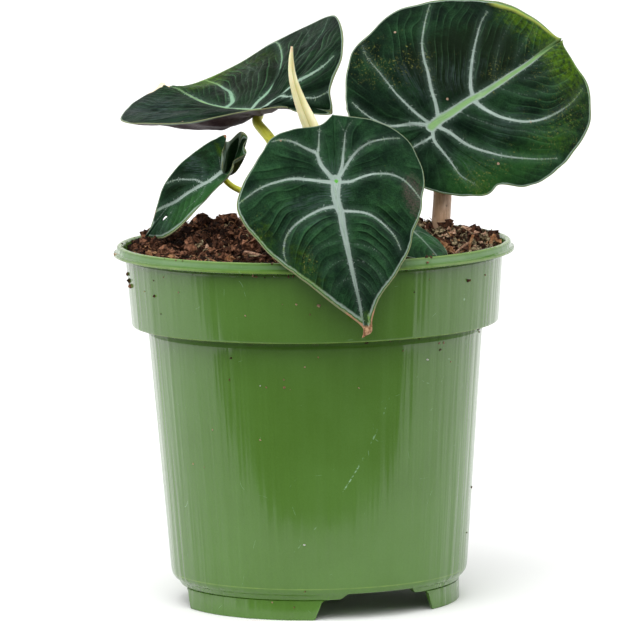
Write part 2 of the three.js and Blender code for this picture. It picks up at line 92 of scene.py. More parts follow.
# A blade's pattern is measured from where its stalk joins it: f towards the tip and s to the
# left. "at" is that place, "heading" and "pitch" say where the tip points and "roll" how the blade
# lies round its midrib, in degrees. Along the midrib it bends by "droop" over its "reach" towards
# the tip, and by "back" over as much the other way. Each half rises by "cup" beside the midrib and
# curls by "curl" over a "half", and "twist" changes the cup along the blade. "quilt" is how far it
# puffs up between veins, "tone" how light it is, "core" how green its midrib and "ribs" how strong
# its ribs. "notch" and "tip" are the ends of its midrib, with a lift and, if given, an offset.
# A row has its start on the midrib and, for each half, its end (f, s), how far its middle bows
# towards the base, how far its end lifts and how far its middle sags, and its vein's strength. A
# rim is how wide the pale margin is, from the base to the tip, for each half. A vein is (half width
# at its start, half width at its end, its places), and the first one is the midrib. A patch is
# (kind, f, s, spread along f, spread along s, amount).
FRONT_LEAF = {
    "at": (6.8, -51.9, 130.9), "heading": -68, "pitch": -61, "roll": 16, "reach": 46, "half": 28,
    "droop": 26, "back": -16, "cup": (5, 5), "curl": (-22, -22), "twist": (0, 0), "quilt": 1.2,
    "notch": (-20.5, 3, 0), "tip": (46.7, 0, -0.9), "core": 0.3, "tone": 0.5, "ribs": 1.0,
    "rims": ([0.25, 0.2, 0.25, 0.6, 0.9, 1.1, 1.3, 1.2], [0.2, 0.2, 0.3, 0.9, 1.1, 1.4, 1.5, 1.2]),
    "veins": [
        (1.75, 0.35, [(-0.5, 0), (4.1, -1), (7.2, -1), (10, -0.6), (14.2, -0.8), (18.6, -0.7),
                      (24, -0.6), (29.7, -0.4), (33.3, -0.2), (37.3, 0), (43, 0)]),
        (0.95, 0.2, [(-0.6, -0.6), (-4.8, -3), (-7, -3.6), (-9.6, -4.1), (-10.8, -5.8),
                     (-12.1, -7.7), (-13.5, -9.4), (-14.7, -11.2), (-15.5, -13.5), (-15.4, -16.2)]),
        (0.45, 0.15, [(-9.2, -3.8), (-12.1, -2.8), (-15.2, -2.1), (-17.6, -1.4)]),
        (0.8, 0.2, [(-0.6, 0.6), (-4.6, 2.7), (-7.8, 3.6), (-10.7, 4.5), (-14.3, 5.5)]),
        (0.16, 0.05, [(-14.2, 5.5), (-16.1, 6.7), (-18, 8.8)]),
        (0.16, 0.05, [(-14.2, 5.5), (-16, 4.9), (-18.4, 4.3)]),
        (0.6, 0.2, [(-1.5, 1.4), (-3.8, 3.4), (-5.9, 5.3), (-7.9, 7.5), (-9, 9.3), (-10.1, 12.1),
                    (-10.5, 15.1), (-10.5, 18.2), (-10.2, 21.2)]),
        (0.75, 0.25, [(0, -0.4), (-0.2, -2.1), (-0.9, -5), (-1.8, -7.9), (-2.6, -10.5),
                      (-3.1, -13.6), (-3, -17.1), (-2.7, -19.9), (-1.9, -23.1), (-0.8, -25.7),
                      (0.8, -29.2)]),
        (0.6, 0.22, [(0.2, 0.5), (0.9, 4.1), (0.4, 6.5), (0, 9.2), (-0.2, 12.3), (0.3, 15.3),
                     (1.4, 17.6), (2.9, 19.6), (4.9, 21.1), (7.1, 22.4), (9.6, 23.6)]),
        (0.62, 0.22, [(7.5, -1.1), (7.6, -5), (8.3, -8), (9.4, -11), (10.8, -13.9), (12.4, -16.2),
                      (14.3, -17.8), (16.4, -18.7), (18.6, -19.2), (21, -19)]),
        (0.55, 0.2, [(9.1, -0.2), (10, 3.7), (10.9, 6.3), (12.3, 8.4), (14.1, 10.2), (16.2, 11.8),
                     (18.4, 13.1), (20.8, 14), (23.5, 14.6)]),
        (0.1, 0.02, [(18.3, -0.8), (17.9, -2.9), (18.3, -6.1), (19.1, -8.6), (21, -12)]),
        (0.1, 0.02, [(19, 0), (20, 2.9), (21.4, 5.8), (23.5, 8.1), (26.8, 9.9)]),
        (0.13, 0.02, [(23.6, -0.8), (23.8, -3.6), (24.6, -6.2), (26.8, -9.4)]),
        (0.13, 0.02, [(23.7, -0.2), (24.9, 2.9), (26.8, 5.3), (29.2, 7.2), (31.9, 8.7)]),
        (0.08, 0.02, [(29.2, -0.4), (29.3, -3), (30.5, -5.6), (32.5, -7.6)]),
        (0.08, 0.02, [(30, -0.2), (31.3, 2), (33, 3.8), (35.2, 5)]),
    ],
    "rows": [
        row(0, (-19.2, 7.1, -1), (-18, -1.5, -2.5), 1),
        row(0, (-17, 14, 1.5), (-18, -9.5, 0.8), 0),
        row(0, (-10.5, 22.8, 7), (-16.3, -16.3, 4), 1),
        row(0, (0, 26, 8), (-10, -22.2, 5), 0),
        row(0, (9.4, 24.3, 10), (0.2, -30, 7), 1),
        row(4, (17.5, 20.5, 9), (12.5, -27, 9), 0),
        row(8, (25, 16.4, 7.5), (22.4, -20, 11), 1),
        row(18, (30.3, 12, 4), (28.5, -14.3, 7.5), 0.1),
        row(26, (36, 6.2, 3), (36, -7.5, 4), 0.1),
        row(35, (41.3, 3.2, 1), (40.6, -2.9, 1), 0.1),
        row(39.5, (43.9, 2.6), (43.2, -0.6), 0),
        row(42.5, (45.7, 2), (44.9, -0.1), 0),
    ],
    "patches": [
        ("tan", 47.6, 1, 2.8, 6, 2.0),
        ("tan", 41, -3.4, 2.4, 0.9, 0.6),
        ("tan", 41.5, 3.4, 2, 0.7, 0.5),
        ("yellow", 22, -15, 5, 3, 0.5),
        ("yellow", 13, -24, 6, 4, 0.45),
        ("yellow", 30, -11, 4, 2.5, 0.4),
        ("yellow", 41, 1, 2, 1.4, 0.6),
        ("lit", 0, 14, 9, 7, 0.35),
        ("lit", 3, -16, 6, 9, 0.4),
        ("lit", 14, 12, 5, 6, 0.3),
        ("purple", 8, 21.5, 5, 2.6, 1.2),
        ("speckle", 24, -13, 4, 2, 1.2),
        ("speckle", 12, -25, 5, 3, 0.6),
        ("speckle", 34, -6, 6, 5, 0.35),
        ("speckle", -4, 12, 12, 10, 0.1),
        ("silver", 5.5, -8, 2.2, 7, 0.8),
        ("silver", 3, -2.5, 3, 1.6, 0.9),
        ("silver", 3, 2, 3, 1.4, 0.7),
        ("silver", -4, 0, 3.4, 3, 0.7),
        ("silver", 12, -10, 2, 7, 0.5),
        ("silver", 33, 7, 4, 2, 0.4),
        ("bud", -0.1, 0, 0.5, 0.5, 1.6),
    ],
}
RIGHT_LEAF = {
    "at": (36.2, 6, 141.5), "heading": 22, "pitch": 31, "roll": 67, "reach": 50, "half": 32,
    "droop": 28, "back": -12, "cup": (3, 3), "curl": (-22, -22), "twist": (0, 0), "quilt": 1.5,
    "notch": (-17, 0, 0), "tip": (55.5, 0), "core": 1.0, "tone": 0.2, "ribs": 0.6,
    "rims": ([0.3, 0.3, 0.35, 0.35, 0.4, 0.8, 1.3, 1.2], [0.3, 0.4, 0.5, 0.5, 0.6, 0.8, 0.9, 1.0]),
    "veins": [
        (1.8, 0.6, [(-0.6, 0), (3, 0.3), (6.7, 0), (10.7, 0), (14.5, -0.1), (18.4, -0.6),
                     (22.1, -0.7), (26.2, -0.8), (30.7, -0.7), (34.8, -0.7), (39.5, -0.6),
                     (45.2, -0.1), (50.1, 0.2), (55, 0.4)]),
        (0.6, 0.12, [(-0.3, 0.8), (-1.4, 4.3), (-2.1, 6.9), (-2.7, 10.4), (-3.1, 14.3), (-3, 18),
                     (-2.9, 22), (-2.9, 26.3), (-2.4, 30), (-1.3, 32.7)]),
        (0.75, 0.2, [(2.6, 0.6), (4.8, 4.9), (6, 8), (7.4, 11), (9, 14.3), (10.4, 17.3),
                     (12, 20.1), (14, 22.8), (16.7, 25.3), (19.7, 27.7), (22.8, 29.9), (25.4, 31.5)]),
        (0.8, 0.18, [(15.9, -0.3), (17, 2.7), (18.9, 5.2), (21.1, 7.6), (23.9, 10.2), (26.6, 12.5),
                     (29.4, 14.6), (32.4, 16.6), (35.6, 18.3), (39.2, 19.6)]),
        (0.75, 0.2, [(-0.4, 0.5), (-4.3, 3.6), (-6.8, 5), (-9.5, 6.4), (-11.6, 7.9), (-13.1, 10.2),
                     (-14.3, 13.1), (-15.1, 16.4), (-15.6, 20)]),
        (0.75, 0.12, [(0.2, 0), (-1.2, -1.5), (-2.5, -3.6), (-2.7, -5.9), (-2.5, -8.7),
                      (-2.4, -11.6), (-2.5, -14.1), (-2.4, -16.6), (-1.6, -18.9), (0.3, -22.8)]),
        (0.5, 0.3, [(-1.8, -2.6), (-4.8, -2.4), (-7.6, -2.1), (-10, -2)]),
        (0.7, 0.15, [(0.6, -0.4), (2.6, -4), (3.5, -6.8), (4.4, -9.4), (5.5, -11.8), (7, -14.2),
                     (9, -16.5), (11.1, -18.7), (13.6, -20.9), (16.3, -22.9), (19.4, -24.9),
                     (24, -27.5), (28, -29.4)]),
        (0.85, 0.15, [(15.2, -0.4), (16.3, -4.6), (17.4, -7), (18.9, -9.5), (21, -11.8),
                      (23.5, -13.9), (26.5, -15.6), (29.8, -16.9), (33.5, -17.6), (37.1, -17.9),
                      (41, -17.9), (44.4, -17.5), (47.6, -16.8), (51, -15.8)]),
        (0.12, 0.02, [(31, -1), (33, -3.5), (36, -5.2), (40, -6), (45, -5.8), (49, -5)]),
        (0.1, 0.02, [(36, -0.8), (39, -2.2), (42, -3), (46, -3), (50, -2.4)]),
        (0.1, 0.02, [(33, -0.6), (35, 2), (38.6, 4.4), (43, 6), (48, 6.6)]),
        (0.1, 0.02, [(24, -0.8), (26.5, -5), (30, -8.4), (35, -10.4), (41, -11), (47, -10.6)]),
        (0.08, 0.02, [(24.5, -0.6), (26.8, 3), (30.8, 6.8), (35.4, 9.8), (41, 12)]),
        (0.08, 0.02, [(9, -0.4), (12, -6), (16, -11.2), (21.6, -16.4), (29, -21), (36, -23.6)]),
    ],
    "rows": [
        row(0, (-20, 6, 0), (-18, -5, -3), 1),
        row(0, (-20.5, 13, 2), (-13.5, -14.5, 1), 0),
        row(0, (-18.9, 18, 5), (-6.6, -21.6, 3.5), 0.4),
        row(0, (-16, 22.5, 7), (0.5, -26.2, 5), 0.8),
        row(0, (-8, 31.3, 7), (7, -26.7, 5), 0),
        row(0, (0.6, 34.7, 6.5), (14, -31.6, 6), 1, 0),
        row(2, (15, 36, 8), (23, -32.6, 8), 0),
        row(4, (27.1, 32, 10), (33, -31.2, 9.5), 1),
        row(9, (37, 26.3, 9), (46, -26, 12), 0),
        row(15, (46, 19.8, 8.5), (53.4, -16.6, 18), 1),
        row(33, (52, 11, 4), (54.3, -8, 5), 0.1),
    ],
    "patches": [
        ("yellow", 50, 4, 5, 4, 0.7),
        ("yellow", 50, -6, 5.5, 5, 1.2),
        ("yellow", 46, 14, 5, 5, 0.75),
        ("yellow", 46, -17, 7, 5, 0.45),
        ("shade", 21, 11, 10, 8, 1.1),
        ("shade", 30, 8, 8, 5, 0.8),
        ("shade", 38, -7, 5, 4, 0.4),
        ("shade", 10, 17, 6, 6, 0.5),
        ("yellow", 0.5, -23, 2.5, 4, 0.55),
        ("yellow", 32, -25, 7, 4, 0.45),
        ("lit", 22, -25, 14, 5, 0.8),
        ("lit", -1, -20, 8, 7, 0.9),
        ("lit", 36, -10, 10, 8, 0.3),
        ("tan", 56, 2.6, 1.2, 1.6, 1.2),
        ("cream", 53, 9, 4, 7, 1.4),
        ("cream", 46, 19, 4, 6, 1.0),
        ("speckle", 0, -23, 7, 7, 1.1),
        ("speckle", 30, -24, 14, 7, 0.7),
        ("speckle", -4, 28, 6, 8, 1.0),
        ("speckle", 8, 19, 7, 6, 0.7),
        ("speckle", 27, 2, 4, 3, 1.0),
        ("speckle", 45, 0, 10, 18, 0.7),
        ("silver", 22, 7, 5, 3, 0.45),
        ("silver", 13, 10, 4, 5, 0.55),
        ("silver", 3, 15, 3, 7, 0.6),
        ("silver", 20, -12, 6, 2.5, 0.7),
        ("silver", 8, -18, 6, 3, 0.6),
        ("silver", 0, -12, 3, 5, 0.4),
    ],
}
LEFT_LEAF = {
    "at": (-16, 24, 145.7), "heading": 123.5, "pitch": -6.5, "roll": 0, "reach": 50, "half": 32,
    "droop": -19, "back": 6, "cup": (-7, 29.5), "curl": (0, 15), "twist": (-2, -9), "quilt": 1.5,
    "notch": (-16.5, 0, 0), "tip": (54.2, -0.5, 2.2), "core": 0.8, "tone": 0.05, "ribs": 1.1,
    "rims": ([0.35, 0.35, 0.35, 0.35], [0.3, 0.35, 0.4, 0.5, 0.9, 1.2]),
    "veins": [
        (1.5, 0.12, [(0, 0), (5, 0), (10, -0.2), (14.1, -0.3), (19.4, -0.3), (24.4, -0.1),
                     (29.6, -0.2), (34.1, -0.6), (41.3, -0.9), (47.6, -0.7), (52, -0.2)]),
        (0.95, 0.3, [(19.5, -0.6), (20.6, -4), (24.2, -6.5), (29.1, -9.1), (33.5, -10.2),
                     (38.7, -11.3), (44.4, -12.1), (50.5, -12.4)]),
        (0.7, 0.35, [(5.5, -0.4), (7, -4.3), (8, -8), (9, -12), (10.3, -15.4), (12.8, -19.2),
                     (16.5, -23), (21.4, -26.8), (26.5, -30.1), (31.5, -32.3), (35.5, -33)]),
        (1.3, 0.25, [(0, -0.5), (-1.2, -4.3), (-3.2, -7.3), (-5.9, -10), (-8.1, -13), (-10, -16),
                     (-11.5, -19.3), (-12.5, -22.4), (-12.9, -25)]),
        (0.5, 0.15, [(-2.4, -6.2), (-6.2, -6.9), (-9.6, -7.1), (-12, -7.5), (-14.3, -8.5),
                     (-16.5, -10), (-18.9, -13.3)]),
        (0.14, 0.3, [(8.2, -20), (5.8, -24.5), (4.1, -29), (3.8, -33.6), (4.5, -37), (8, -42)]),
        (0.1, 0.15, [(8.6, -30.9), (14.1, -35.8), (22.5, -39.8)]),
        (0.12, 0.06, [(26, -14), (31.5, -19), (35.6, -21), (41, -21.6), (45.5, -21)]),
        (0.12, 0.03, [(33.9, -20.6), (28.2, -19.6), (21.7, -17.1), (17.5, -13.5)]),
    ],
    "rows": [
        row(0, (-17.5, 4.3, 0, 0.8, 1.4), (-19.4, -8.3, 0, -8.4), 1),
        row(0, (-15.3, 8.6, 1.5, 0.95, 1.75), (-20.6, -10.2, 0, -7.3), 0),
        row(0, (-12.6, 12.9, 3, 1.1, 2.1), (-18.6, -14.6, 1, -3.2), 0, 1),
        row(0, (0, 22.6, 5, 0.4, 3), (-15.5, -26, 6, -0.4), 1),
        row(0, (8.7, 24.5, 5, 0.4, 4.4), (0, -41.5, 6.5, 1.8), 0, 0.6),
        row(2, (19.4, 28, 7, 0.8, 2.4), (19, -42, 8, 1.8), 0),
        row(4, (31.2, 26.8, 9.5, -0.6, 0.8), (35.4, -32.5, 11, 1.5), 1),
        row(10, (42.7, 22.8, 12, -2.4), (43.2, -24.2, 9, -0.3), 0),
        row(15.5, (51.4, 13.8, 13, -2.5), (50.5, -12.5, 9, -2), 1),
        row(32, (52.6, 7.7, 4, -1), (53, -6.5, 3, -2), 0.1),
    ],
    "patches": [
        ("yellow", 47, -10, 6, 8, 1.0),
        ("shade", 26, -17, 10, 9, 1.0),
        ("yellow", 36, -24, 8, 5, 0.35),
        ("yellow", 24, -30, 8, 5, 0.2),
        ("mint", 22, -14, 16, 16, 0.8),
        ("mint", 2, -30, 10, 12, 0.8),
        ("dry", 54, 1.6, 2.2, 4, 1.6),
        ("purple", 45, -17, 4, 3, 0.5),
        ("speckle", 35, -20, 12, 8, 0.5),
        ("silver", 40, 14, 9, 7, 0.8),
        ("silver", 20, 18, 9, 7, 0.6),
        ("silver", -5, -24, 8, 9, 0.25),
        ("silver", 4, -38, 6, 5, 0.3),
    ],
}
YOUNG_LEFT_LEAF = {
    "at": (-27.1, 2, 129.1), "heading": 204, "pitch": -21, "roll": -48, "reach": 29, "half": 16,
    "droop": 64, "back": -10, "cup": (12, 16), "curl": (0, 0), "twist": (0, 0), "quilt": 0.7,
    "notch": (-0.2, 0.3, 1), "tip": (33, 0, -1.1), "core": 0.2, "tone": 0.6, "ribs": 0.8,
    "rims": ([0.15, 0.15, 0.2, 0.25, 0.3, 0.5, 0.9, 1.2, 1.3, 1.4, 1.2, 0.8],
             [0.3, 0.3, 0.2, 0.15, 0.15, 0.15, 0.15, 0.15, 0.2, 0.2, 0.3, 0.4]),
    "veins": [
        (0.75, 0.45, [(0, 0), (3.2, 0.6), (5.4, 0.8), (8.1, 0.4), (10.3, 0.2), (13.3, -0.1),
                      (15.9, -0.3), (18.4, -0.9), (21.1, -2), (23.4, -2.8)]),
        (0.22, 0.1, [(0, -0.3), (-0.6, -2.2), (-1.6, -4.8)]),
        (0.4, 0.2, [(6.9, 0.2), (8.2, -2), (9.8, -3.2), (11.7, -4.9), (13.8, -6), (15.7, -6.6)]),
        (0.14, 0.04, [(6.9, -0.3), (5.2, -2.9), (3.8, -4.9)]),
        (0.14, 0.06, [(6.4, 1.2), (9.8, 3.9), (13.8, 4.6), (17.9, 5.2)]),
        (0.16, 0.05, [(19.4, -0.9), (23.1, -0.6), (27.5, -0.8), (31.6, -0.6)]),
        (0.12, 0.05, [(16, -0.2), (19.5, 1.6), (24, 2.8), (28.5, 2.6)]),
        (0.16, 0.05, [(0, 0.5), (-0.8, 3), (-2, 5.2), (-3.4, 7.4)]),
        (0.12, 0.05, [(2.5, 1), (3, 4), (3.4, 6.6), (3.7, 8.4)]),
    ],
    "rows": [
        row(0, (0.2, 0.9, 0, 13.2), (-0.5, -1.7, 0, 5), 0),
        row(0, (-1.3, 3.7, 0, 16), (-1.5, -4.5, 0, 5), 0),
        row(0, (-5.3, 4.4, 0.5, 18.5), (-3, -5.8, 0, 4.5), 0.6),
        row(0, (-6.3, 7, 0, 18), (-4.3, -7, 0, 4), 0),
        row(0, (-4.4, 7.3, 0, 16), (-6.7, -9.5, 0, 1), 0),
        row(0, (-3.7, 9.6, 0, 14.5), (-4.1, -10.2, 0.5), 0.6),
        row(0, (0.1, 8.3, 0, 12.5), (0.3, -9.9, 1), 0),
        row(0, (0.9, 9.4, 0, 11), (5.2, -9.2, 1.5), 0.3),
        row(0, (3.9, 9.4, 0.5, 7.5), (9.9, -8.5, 2), 0),
        row(3, (11.6, 8.4, 1.5, 2.5), (16.5, -6.6, 3), 1),
        row(9, (19.4, 8.2, 2, 0.8), (21.9, -3.8, 2), 0.5),
        row(16, (26.8, 5.3, 1, 0), (27.9, -1.4, 1, 0), 0),
    ],
    "patches": [
        ("tan", -6.9, -9.3, 0.7, 0.8, 1.5),
        ("tan", 24.5, -3, 1.2, 0.8, 0.9),
        ("yellow", -2.6, -5.6, 0.9, 2.6, 0.9),
        ("speckle", 15, 3, 12, 8, 0.15),
        ("lit", 14, 6, 9, 5, 1.0),
        ("lit", 0, 8, 5, 4, 1.2),
        ("shade", -5.8, 5.5, 1.5, 2, 1.1),
        ("moss", -2, 3, 4, 5, 2.5),
        ("silver", 6, -5, 2, 5, 1.0),
        ("shade", 2, -8, 6, 4, 0.6),
        ("shade", 14, -4, 5, 3, 0.6),
        ("silver", 24, 4, 3, 2, 0.8),
        ("hole", 22.4, 1.1, 0.5, 0.35, 3.0),
    ],
}
YOUNG_RIGHT_LEAF = {
    "at": (29.5, -20, 112.5), "heading": -65, "pitch": -16, "roll": 0, "reach": 24, "half": 12,
    "droop": 14, "back": -10, "cup": (-22, -18), "curl": (-14, -10), "twist": (0, 0), "quilt": 0.6,
    "notch": (-7, 0, 0), "tip": (23, 0), "core": 0.3, "tone": 1.0, "ribs": 0.6,
    "rims": ([0.3, 0.3], [0.3, 0.3]),
    "veins": [
        (0.3, 0.15, [(0, 0), (6, 0), (12, 0), (18, 0), (22, 0)]),
        (0.22, 0.06, [(0, 0.2), (2, 3), (5, 5.2), (9, 6.4), (13, 6.6)]),
        (0.14, 0.05, [(-0.4, 0.2), (-1, 3), (0.5, 6), (1.5, 8)]),
    ],
    "rows": [
        row(0, (-9, 3), (-9, -3.5), 1),
        row(0, (-6.5, 6.5, 1), (-6.5, -8.5, 1), 0),
        row(0, (1, 8.5, 2), (1, -11, 2), 1),
        row(3, (9, 7.5, 3), (9, -9.5, 3), 1),
        row(8, (16.5, 4, 2), (16.5, -5, 2), 0.5),
    ],
    "patches": [("speckle", 8, 0, 12, 8, 0.1), ("lit", 8, 0, 12, 9, 0.6)],
}
# Each blade, its steps from row to row and its steps across a half.
BLADES = {
    "front_blade": (FRONT_LEAF, 24, 76),
    "right_blade": (RIGHT_LEAF, 24, 76),
    "left_blade": (LEFT_LEAF, 26, 76),
    "young_left_blade": (YOUNG_LEFT_LEAF, 14, 32),
    "young_right_blade": (YOUNG_RIGHT_LEAF, 14, 30),
}
VALLEY = 2.5  # half width of the rounded fold along a midrib
RIB = 2.45  # from one rib of a blade to the next, halfway out
RIPPLE = 0.5  # how far the waves of a margin go in
TORN = 1.0  # a blade is open where its mark for a hole is above this
THICK, THIN = 0.62, 0.32  # a blade's thickness at the midrib and at the margin
FAR = 9.0  # stands for a vein or margin that is nowhere near
NUDGE = 0.02  # part of a row, to find which way a blade runs
TINY = 1e-9  # keeps a length from being 0
PATCHES = ("yellow", "tan", "purple", "speckle", "silver", "lit", "shade", "dry", "cream", "mint",
           "bud", "moss", "hole")
MARKS = ("turn", "edge", "along", "strong", "core", "rim", "share", "ribbed", "tone", *PATCHES)

# A stalk's path and its radii. It goes straight down below the soil.
STALKS = {
    "front_stalk": (
        [(13, -4.5, 96), (13, -4.5, 104), (13, -4.5, 108.5), (12.4, -10, 116), (10, -26, 122.5),
         (7.4, -40, 125.4), (6.4, -46.2, 127.8), (6.7, -50.4, 130), (6.8, -51.5, 130.6)],
        [2, 2, 2, 1.9, 1.7, 1.6, 1.5, 1.5, 1.6],
    ),
    "right_stalk": (
        [(38.3, 8.5, 96), (38.3, 8.5, 108), (38.3, 8.5, 112.5), (38.9, 9, 122), (38.3, 11.6, 132),
         (35.5, 10.8, 139.4), (35.9, 7.9, 140.8), (36.1, 6.6, 141.3)],
        [2.8, 2.8, 2.8, 2.72, 2.5, 1.9, 1.6, 1.6],
    ),
    "left_stalk": (
        [(15.5, 5.5, 96), (15.5, 5.5, 104.5), (15.5, 5.5, 109), (11, 8, 115.5), (1.5, 11.5, 123),
         (-8.4, 14.2, 131.3), (-13, 16, 138), (-16.4, 20, 142), (-16, 23, 144.2)],
        [1.9, 1.9, 1.9, 1.8, 1.7, 1.6, 1.6, 1.5, 1.5],
    ),
    "young_left_stalk": (
        [(3.5, -3, 96), (3.5, -3, 104.5), (3.5, -3, 109), (-0.5, -1.7, 112.2), (-10, 2, 117.4),
         (-18, 4.4, 121.4), (-24.2, 5.2, 124.4), (-27.2, 3.5, 127.8), (-27.1, 2.4, 128.8)],
        [1.2, 1.2, 1.2, 1.1, 1, 1, 0.9, 0.9, 1],
    ),
    "young_right_stalk": (
        [(24, -10, 96), (24, -10, 104.5), (24, -10, 108.6), (25.4, -13, 110.9),
         (28, -17.6, 111), (29.1, -19.4, 112.1)],
        [1, 1, 1, 0.9, 0.8, 0.8],
    ),
}
ROLLED_LEAF = (
    [(9.5, 1.5, 96), (9.5, 1.5, 105), (9.5, 1.5, 108.5), (8.2, 1.2, 118), (4.4, 0.6, 130),
     (-0.4, 0, 142.4), (-3.3, 0, 149.6), (-5.4, 0, 156.6), (-5.9, 0, 162), (-5.6, 0, 166.5)],
    [2.6, 2.7, 2.7, 2.7, 2.7, 2.6, 2, 1.35, 0.85, 0.35],
)
SEAM = (0.12, 0.17)  # how far the rolled leaf's seam winds round, and where it starts

# The pot's outlines, as (radius, height), and the gaps between its feet.
POT_UNDER = [(0, 8), (39.0, 8), (39.5, 7.7), (40.3, 4.6), (40.7, 0.3), (40.9, 0)]
POT_OUTSIDE = [
    (41.8, 0), (42, 0.2), (42, 5.6), (41.95, 5.75), (41.6, 5.9), (42, 6.1), (42.15, 6.3),
    (42.6, 7.2), (42.85, 7.5), (43.5, 7.95), (44.1, 8.8), (44.4, 9.8), (44.6, 11.5), (49.75, 78.4),
    (49.85, 79.6), (50.1, 81.6), (50.35, 82.8), (50.8, 83.4), (51.6, 83.65), (54.35, 83.8),
    (54.7, 83.9), (54.85, 84.1), (54.95, 84.5), (56.35, 102.9), (56.42, 103.8), (56.6, 104.25),
    (57.1, 104.5), (59.6, 104.85), (59.9, 104.95), (60, 105.15), (60, 105.6), (59.9, 105.8),
    (59.5, 105.95), (59.2, 106.15), (59, 107.2), (58.85, 107.6), (58.6, 107.85), (58.2, 108),
    (57.6, 107.95),
]
POT_INSIDE = [
    (57.3, 107.75), (57.1, 107.3), (55.2, 103.6), (55.05, 102.8), (53.75, 86.6), (53.45, 85.6),
    (52.7, 85), (50.6, 84.5), (49.5, 83.6), (49, 82.4), (48.45, 79.5), (42.9, 10.4), (42.5, 9.5),
    (41.9, 9.3), (0, 9.3),
]
SHARP = math.radians(38)  # an edge of the pot that turns by more isn't smoothed
GAPS = {
    "count": 3,
    "first": 25.5,
    "span": (25, 55),
    "outline": [(20, -1), (19.3, 0.6), (18.2, 3.4), (17.6, 5.2), (16.8, 5.8), (12.2, 6.2), (11.3, 7),
                (10.6, 7.8)],
}
# Lines round the pot with painted highlights, as (height, half width, least radius), and the heights of
# its overhangs, with how far down the painted shade under them goes.
PAINTED_LIP_HIGHLIGHT = (106.7, 0.8, 58.7)
PAINTED_EDGE_HIGHLIGHTS = [(105.3, 0.5, 59.3), (83.95, 0.3, 54.1), (107.95, 0.3, 57.2), (9.6, 0.25, 44.2)]
OVERHANGS = [(104.7, 2.2), (83.8, 3.2)]
DULL_EDGES = [(56.3, 103.4, 104.9), (50.1, 81.9, 84)]  # least radius, lowest, highest
LONG_SCRATCH = {"heights": (19.5, 66.5), "line": (-8.6, 44.6, -14.5)}  # start, slant and bow in x
# Crumbs are dark, brown, ochre chips, olive, tan or white grit, and the tables give the number.
DARK, BROWN, OCHRE, OLIVE, TAN, GRIT = range(6)
# Crumbs that cling to the pot: angle round the axis in degrees, height, size and kind.
CRUMBS_ON_POT = [
    (-148, 95.8, 0.5, 0), (-147.6, 100.3, 0.22, 1), (-135.6, 97.8, 0.25, 4), (-129.2, 103.4, 0.2, 0),
    (-145.1, 90.6, 0.25, 0), (-142.1, 101.8, 0.18, 4), (-154.3, 96.5, 0.2, 4), (-111.8, 104, 0.35, 1),
    (-108.5, 104, 0.5, 4), (-107.6, 103.7, 0.45, 1), (-104.9, 103.5, 0.25, 0), (-102.1, 103.8, 0.18, 5),
    (-97.7, 104, 0.45, 1), (-96.4, 103.9, 0.4, 1), (-111.5, 92.1, 0.28, 4), (-99.8, 95.6, 0.15, 4),
    (-95.6, 95.6, 0.25, 4), (-91.5, 92.6, 0.25, 1), (-88.8, 95.1, 0.6, 4), (-119.9, 78.7, 0.32, 1),
    (-121.1, 72.1, 0.22, 1), (-109.5, 70.7, 0.15, 5), (-107.3, 70.3, 0.28, 4), (-101.1, 72.6, 0.28, 4),
    (-101, 70.2, 0.4, 4), (-98.9, 69.7, 0.2, 4), (-93.8, 76.4, 0.25, 4), (-89.1, 79.3, 0.2, 1),
    (-129.8, 56.7, 0.22, 4), (-110.4, 54.4, 0.3, 4), (-141.1, 45.6, 0.3, 4), (-135.3, 45, 0.2, 4),
    (-95.4, 23.1, 0.42, 5), (-109.7, 5.3, 0.35, 4), (-100.4, 4, 0.25, 1), (-95.7, 9, 0.25, 1),
    (-36.6, 99.2, 0.75, 0), (-26, 99.8, 0.3, 4), (-58.6, 97.7, 0.25, 0), (-53.2, 101.1, 0.15, 4),
    (-72.7, 83.2, 0.5, 0), (-64.5, 83.4, 0.35, 0), (-53.1, 83.2, 0.35, 0), (-43.3, 80.8, 0.3, 4),
    (-41, 80.8, 0.35, 4), (-42.6, 78.9, 0.35, 0), (-48.6, 76.4, 0.42, 5), (-36.3, 74.7, 0.22, 4),
    (-59.2, 79.9, 0.22, 1), (-75.3, 69.7, 0.25, 4), (-15.5, 82.4, 0.45, 0), (-13, 81.2, 0.35, 1),
    (-6, 33.6, 0.3, 0), (-12.4, 20.6, 0.25, 0), (-172.1, 99.9, 0.7, 1), (-170, 98, 0.8, 0),
    (-168, 96.8, 0.55, 1), (-122.4, 107.6, 0.35, 1), (-121.5, 107.5, 0.3, 1), (-102, 107.8, 0.45, 4),
    (-55.8, 107.8, 0.6, 0), (-54.2, 107.8, 0.7, 0), (-53.3, 107.2, 0.5, 1), (-56.1, 106.6, 0.35, 1),
    (-149.4, 107.8, 0.3, 1), (-139.4, 107.6, 0.2, 4), (-172.8, 105.6, 0.6, 4), (-179, 107, 0.7, 1),
    (-85.6, 107.3, 0.2, 4),
]
# Sticks that lie in the soil or stand up from it: path, radius and kind of crumb.
STICKS = [
    ([(-20.5, -31.5, 108.6), (-17, -33.2, 107.9), (-13.4, -35, 106.7)], 0.55, 4),
    ([(46, -18.5, 106.4), (46.4, -18.2, 108.6), (47.3, -17.6, 111)], 0.45, 2),
    ([(41.5, -25.5, 106.3), (43.4, -25, 107.9), (45.8, -24.4, 109.4)], 0.35, 4),
    ([(52.6, -10, 106.6), (53, -9.4, 108.5), (53.9, -8.8, 110)], 0.6, 2),
    ([(-33, -38, 106), (-31, -39, 107.4), (-28.6, -40.4, 106.6)], 0.3, 2),
    ([(-45, -25, 105.8), (-43, -27, 107.6), (-40, -28, 106.6)], 0.4, 4),
]
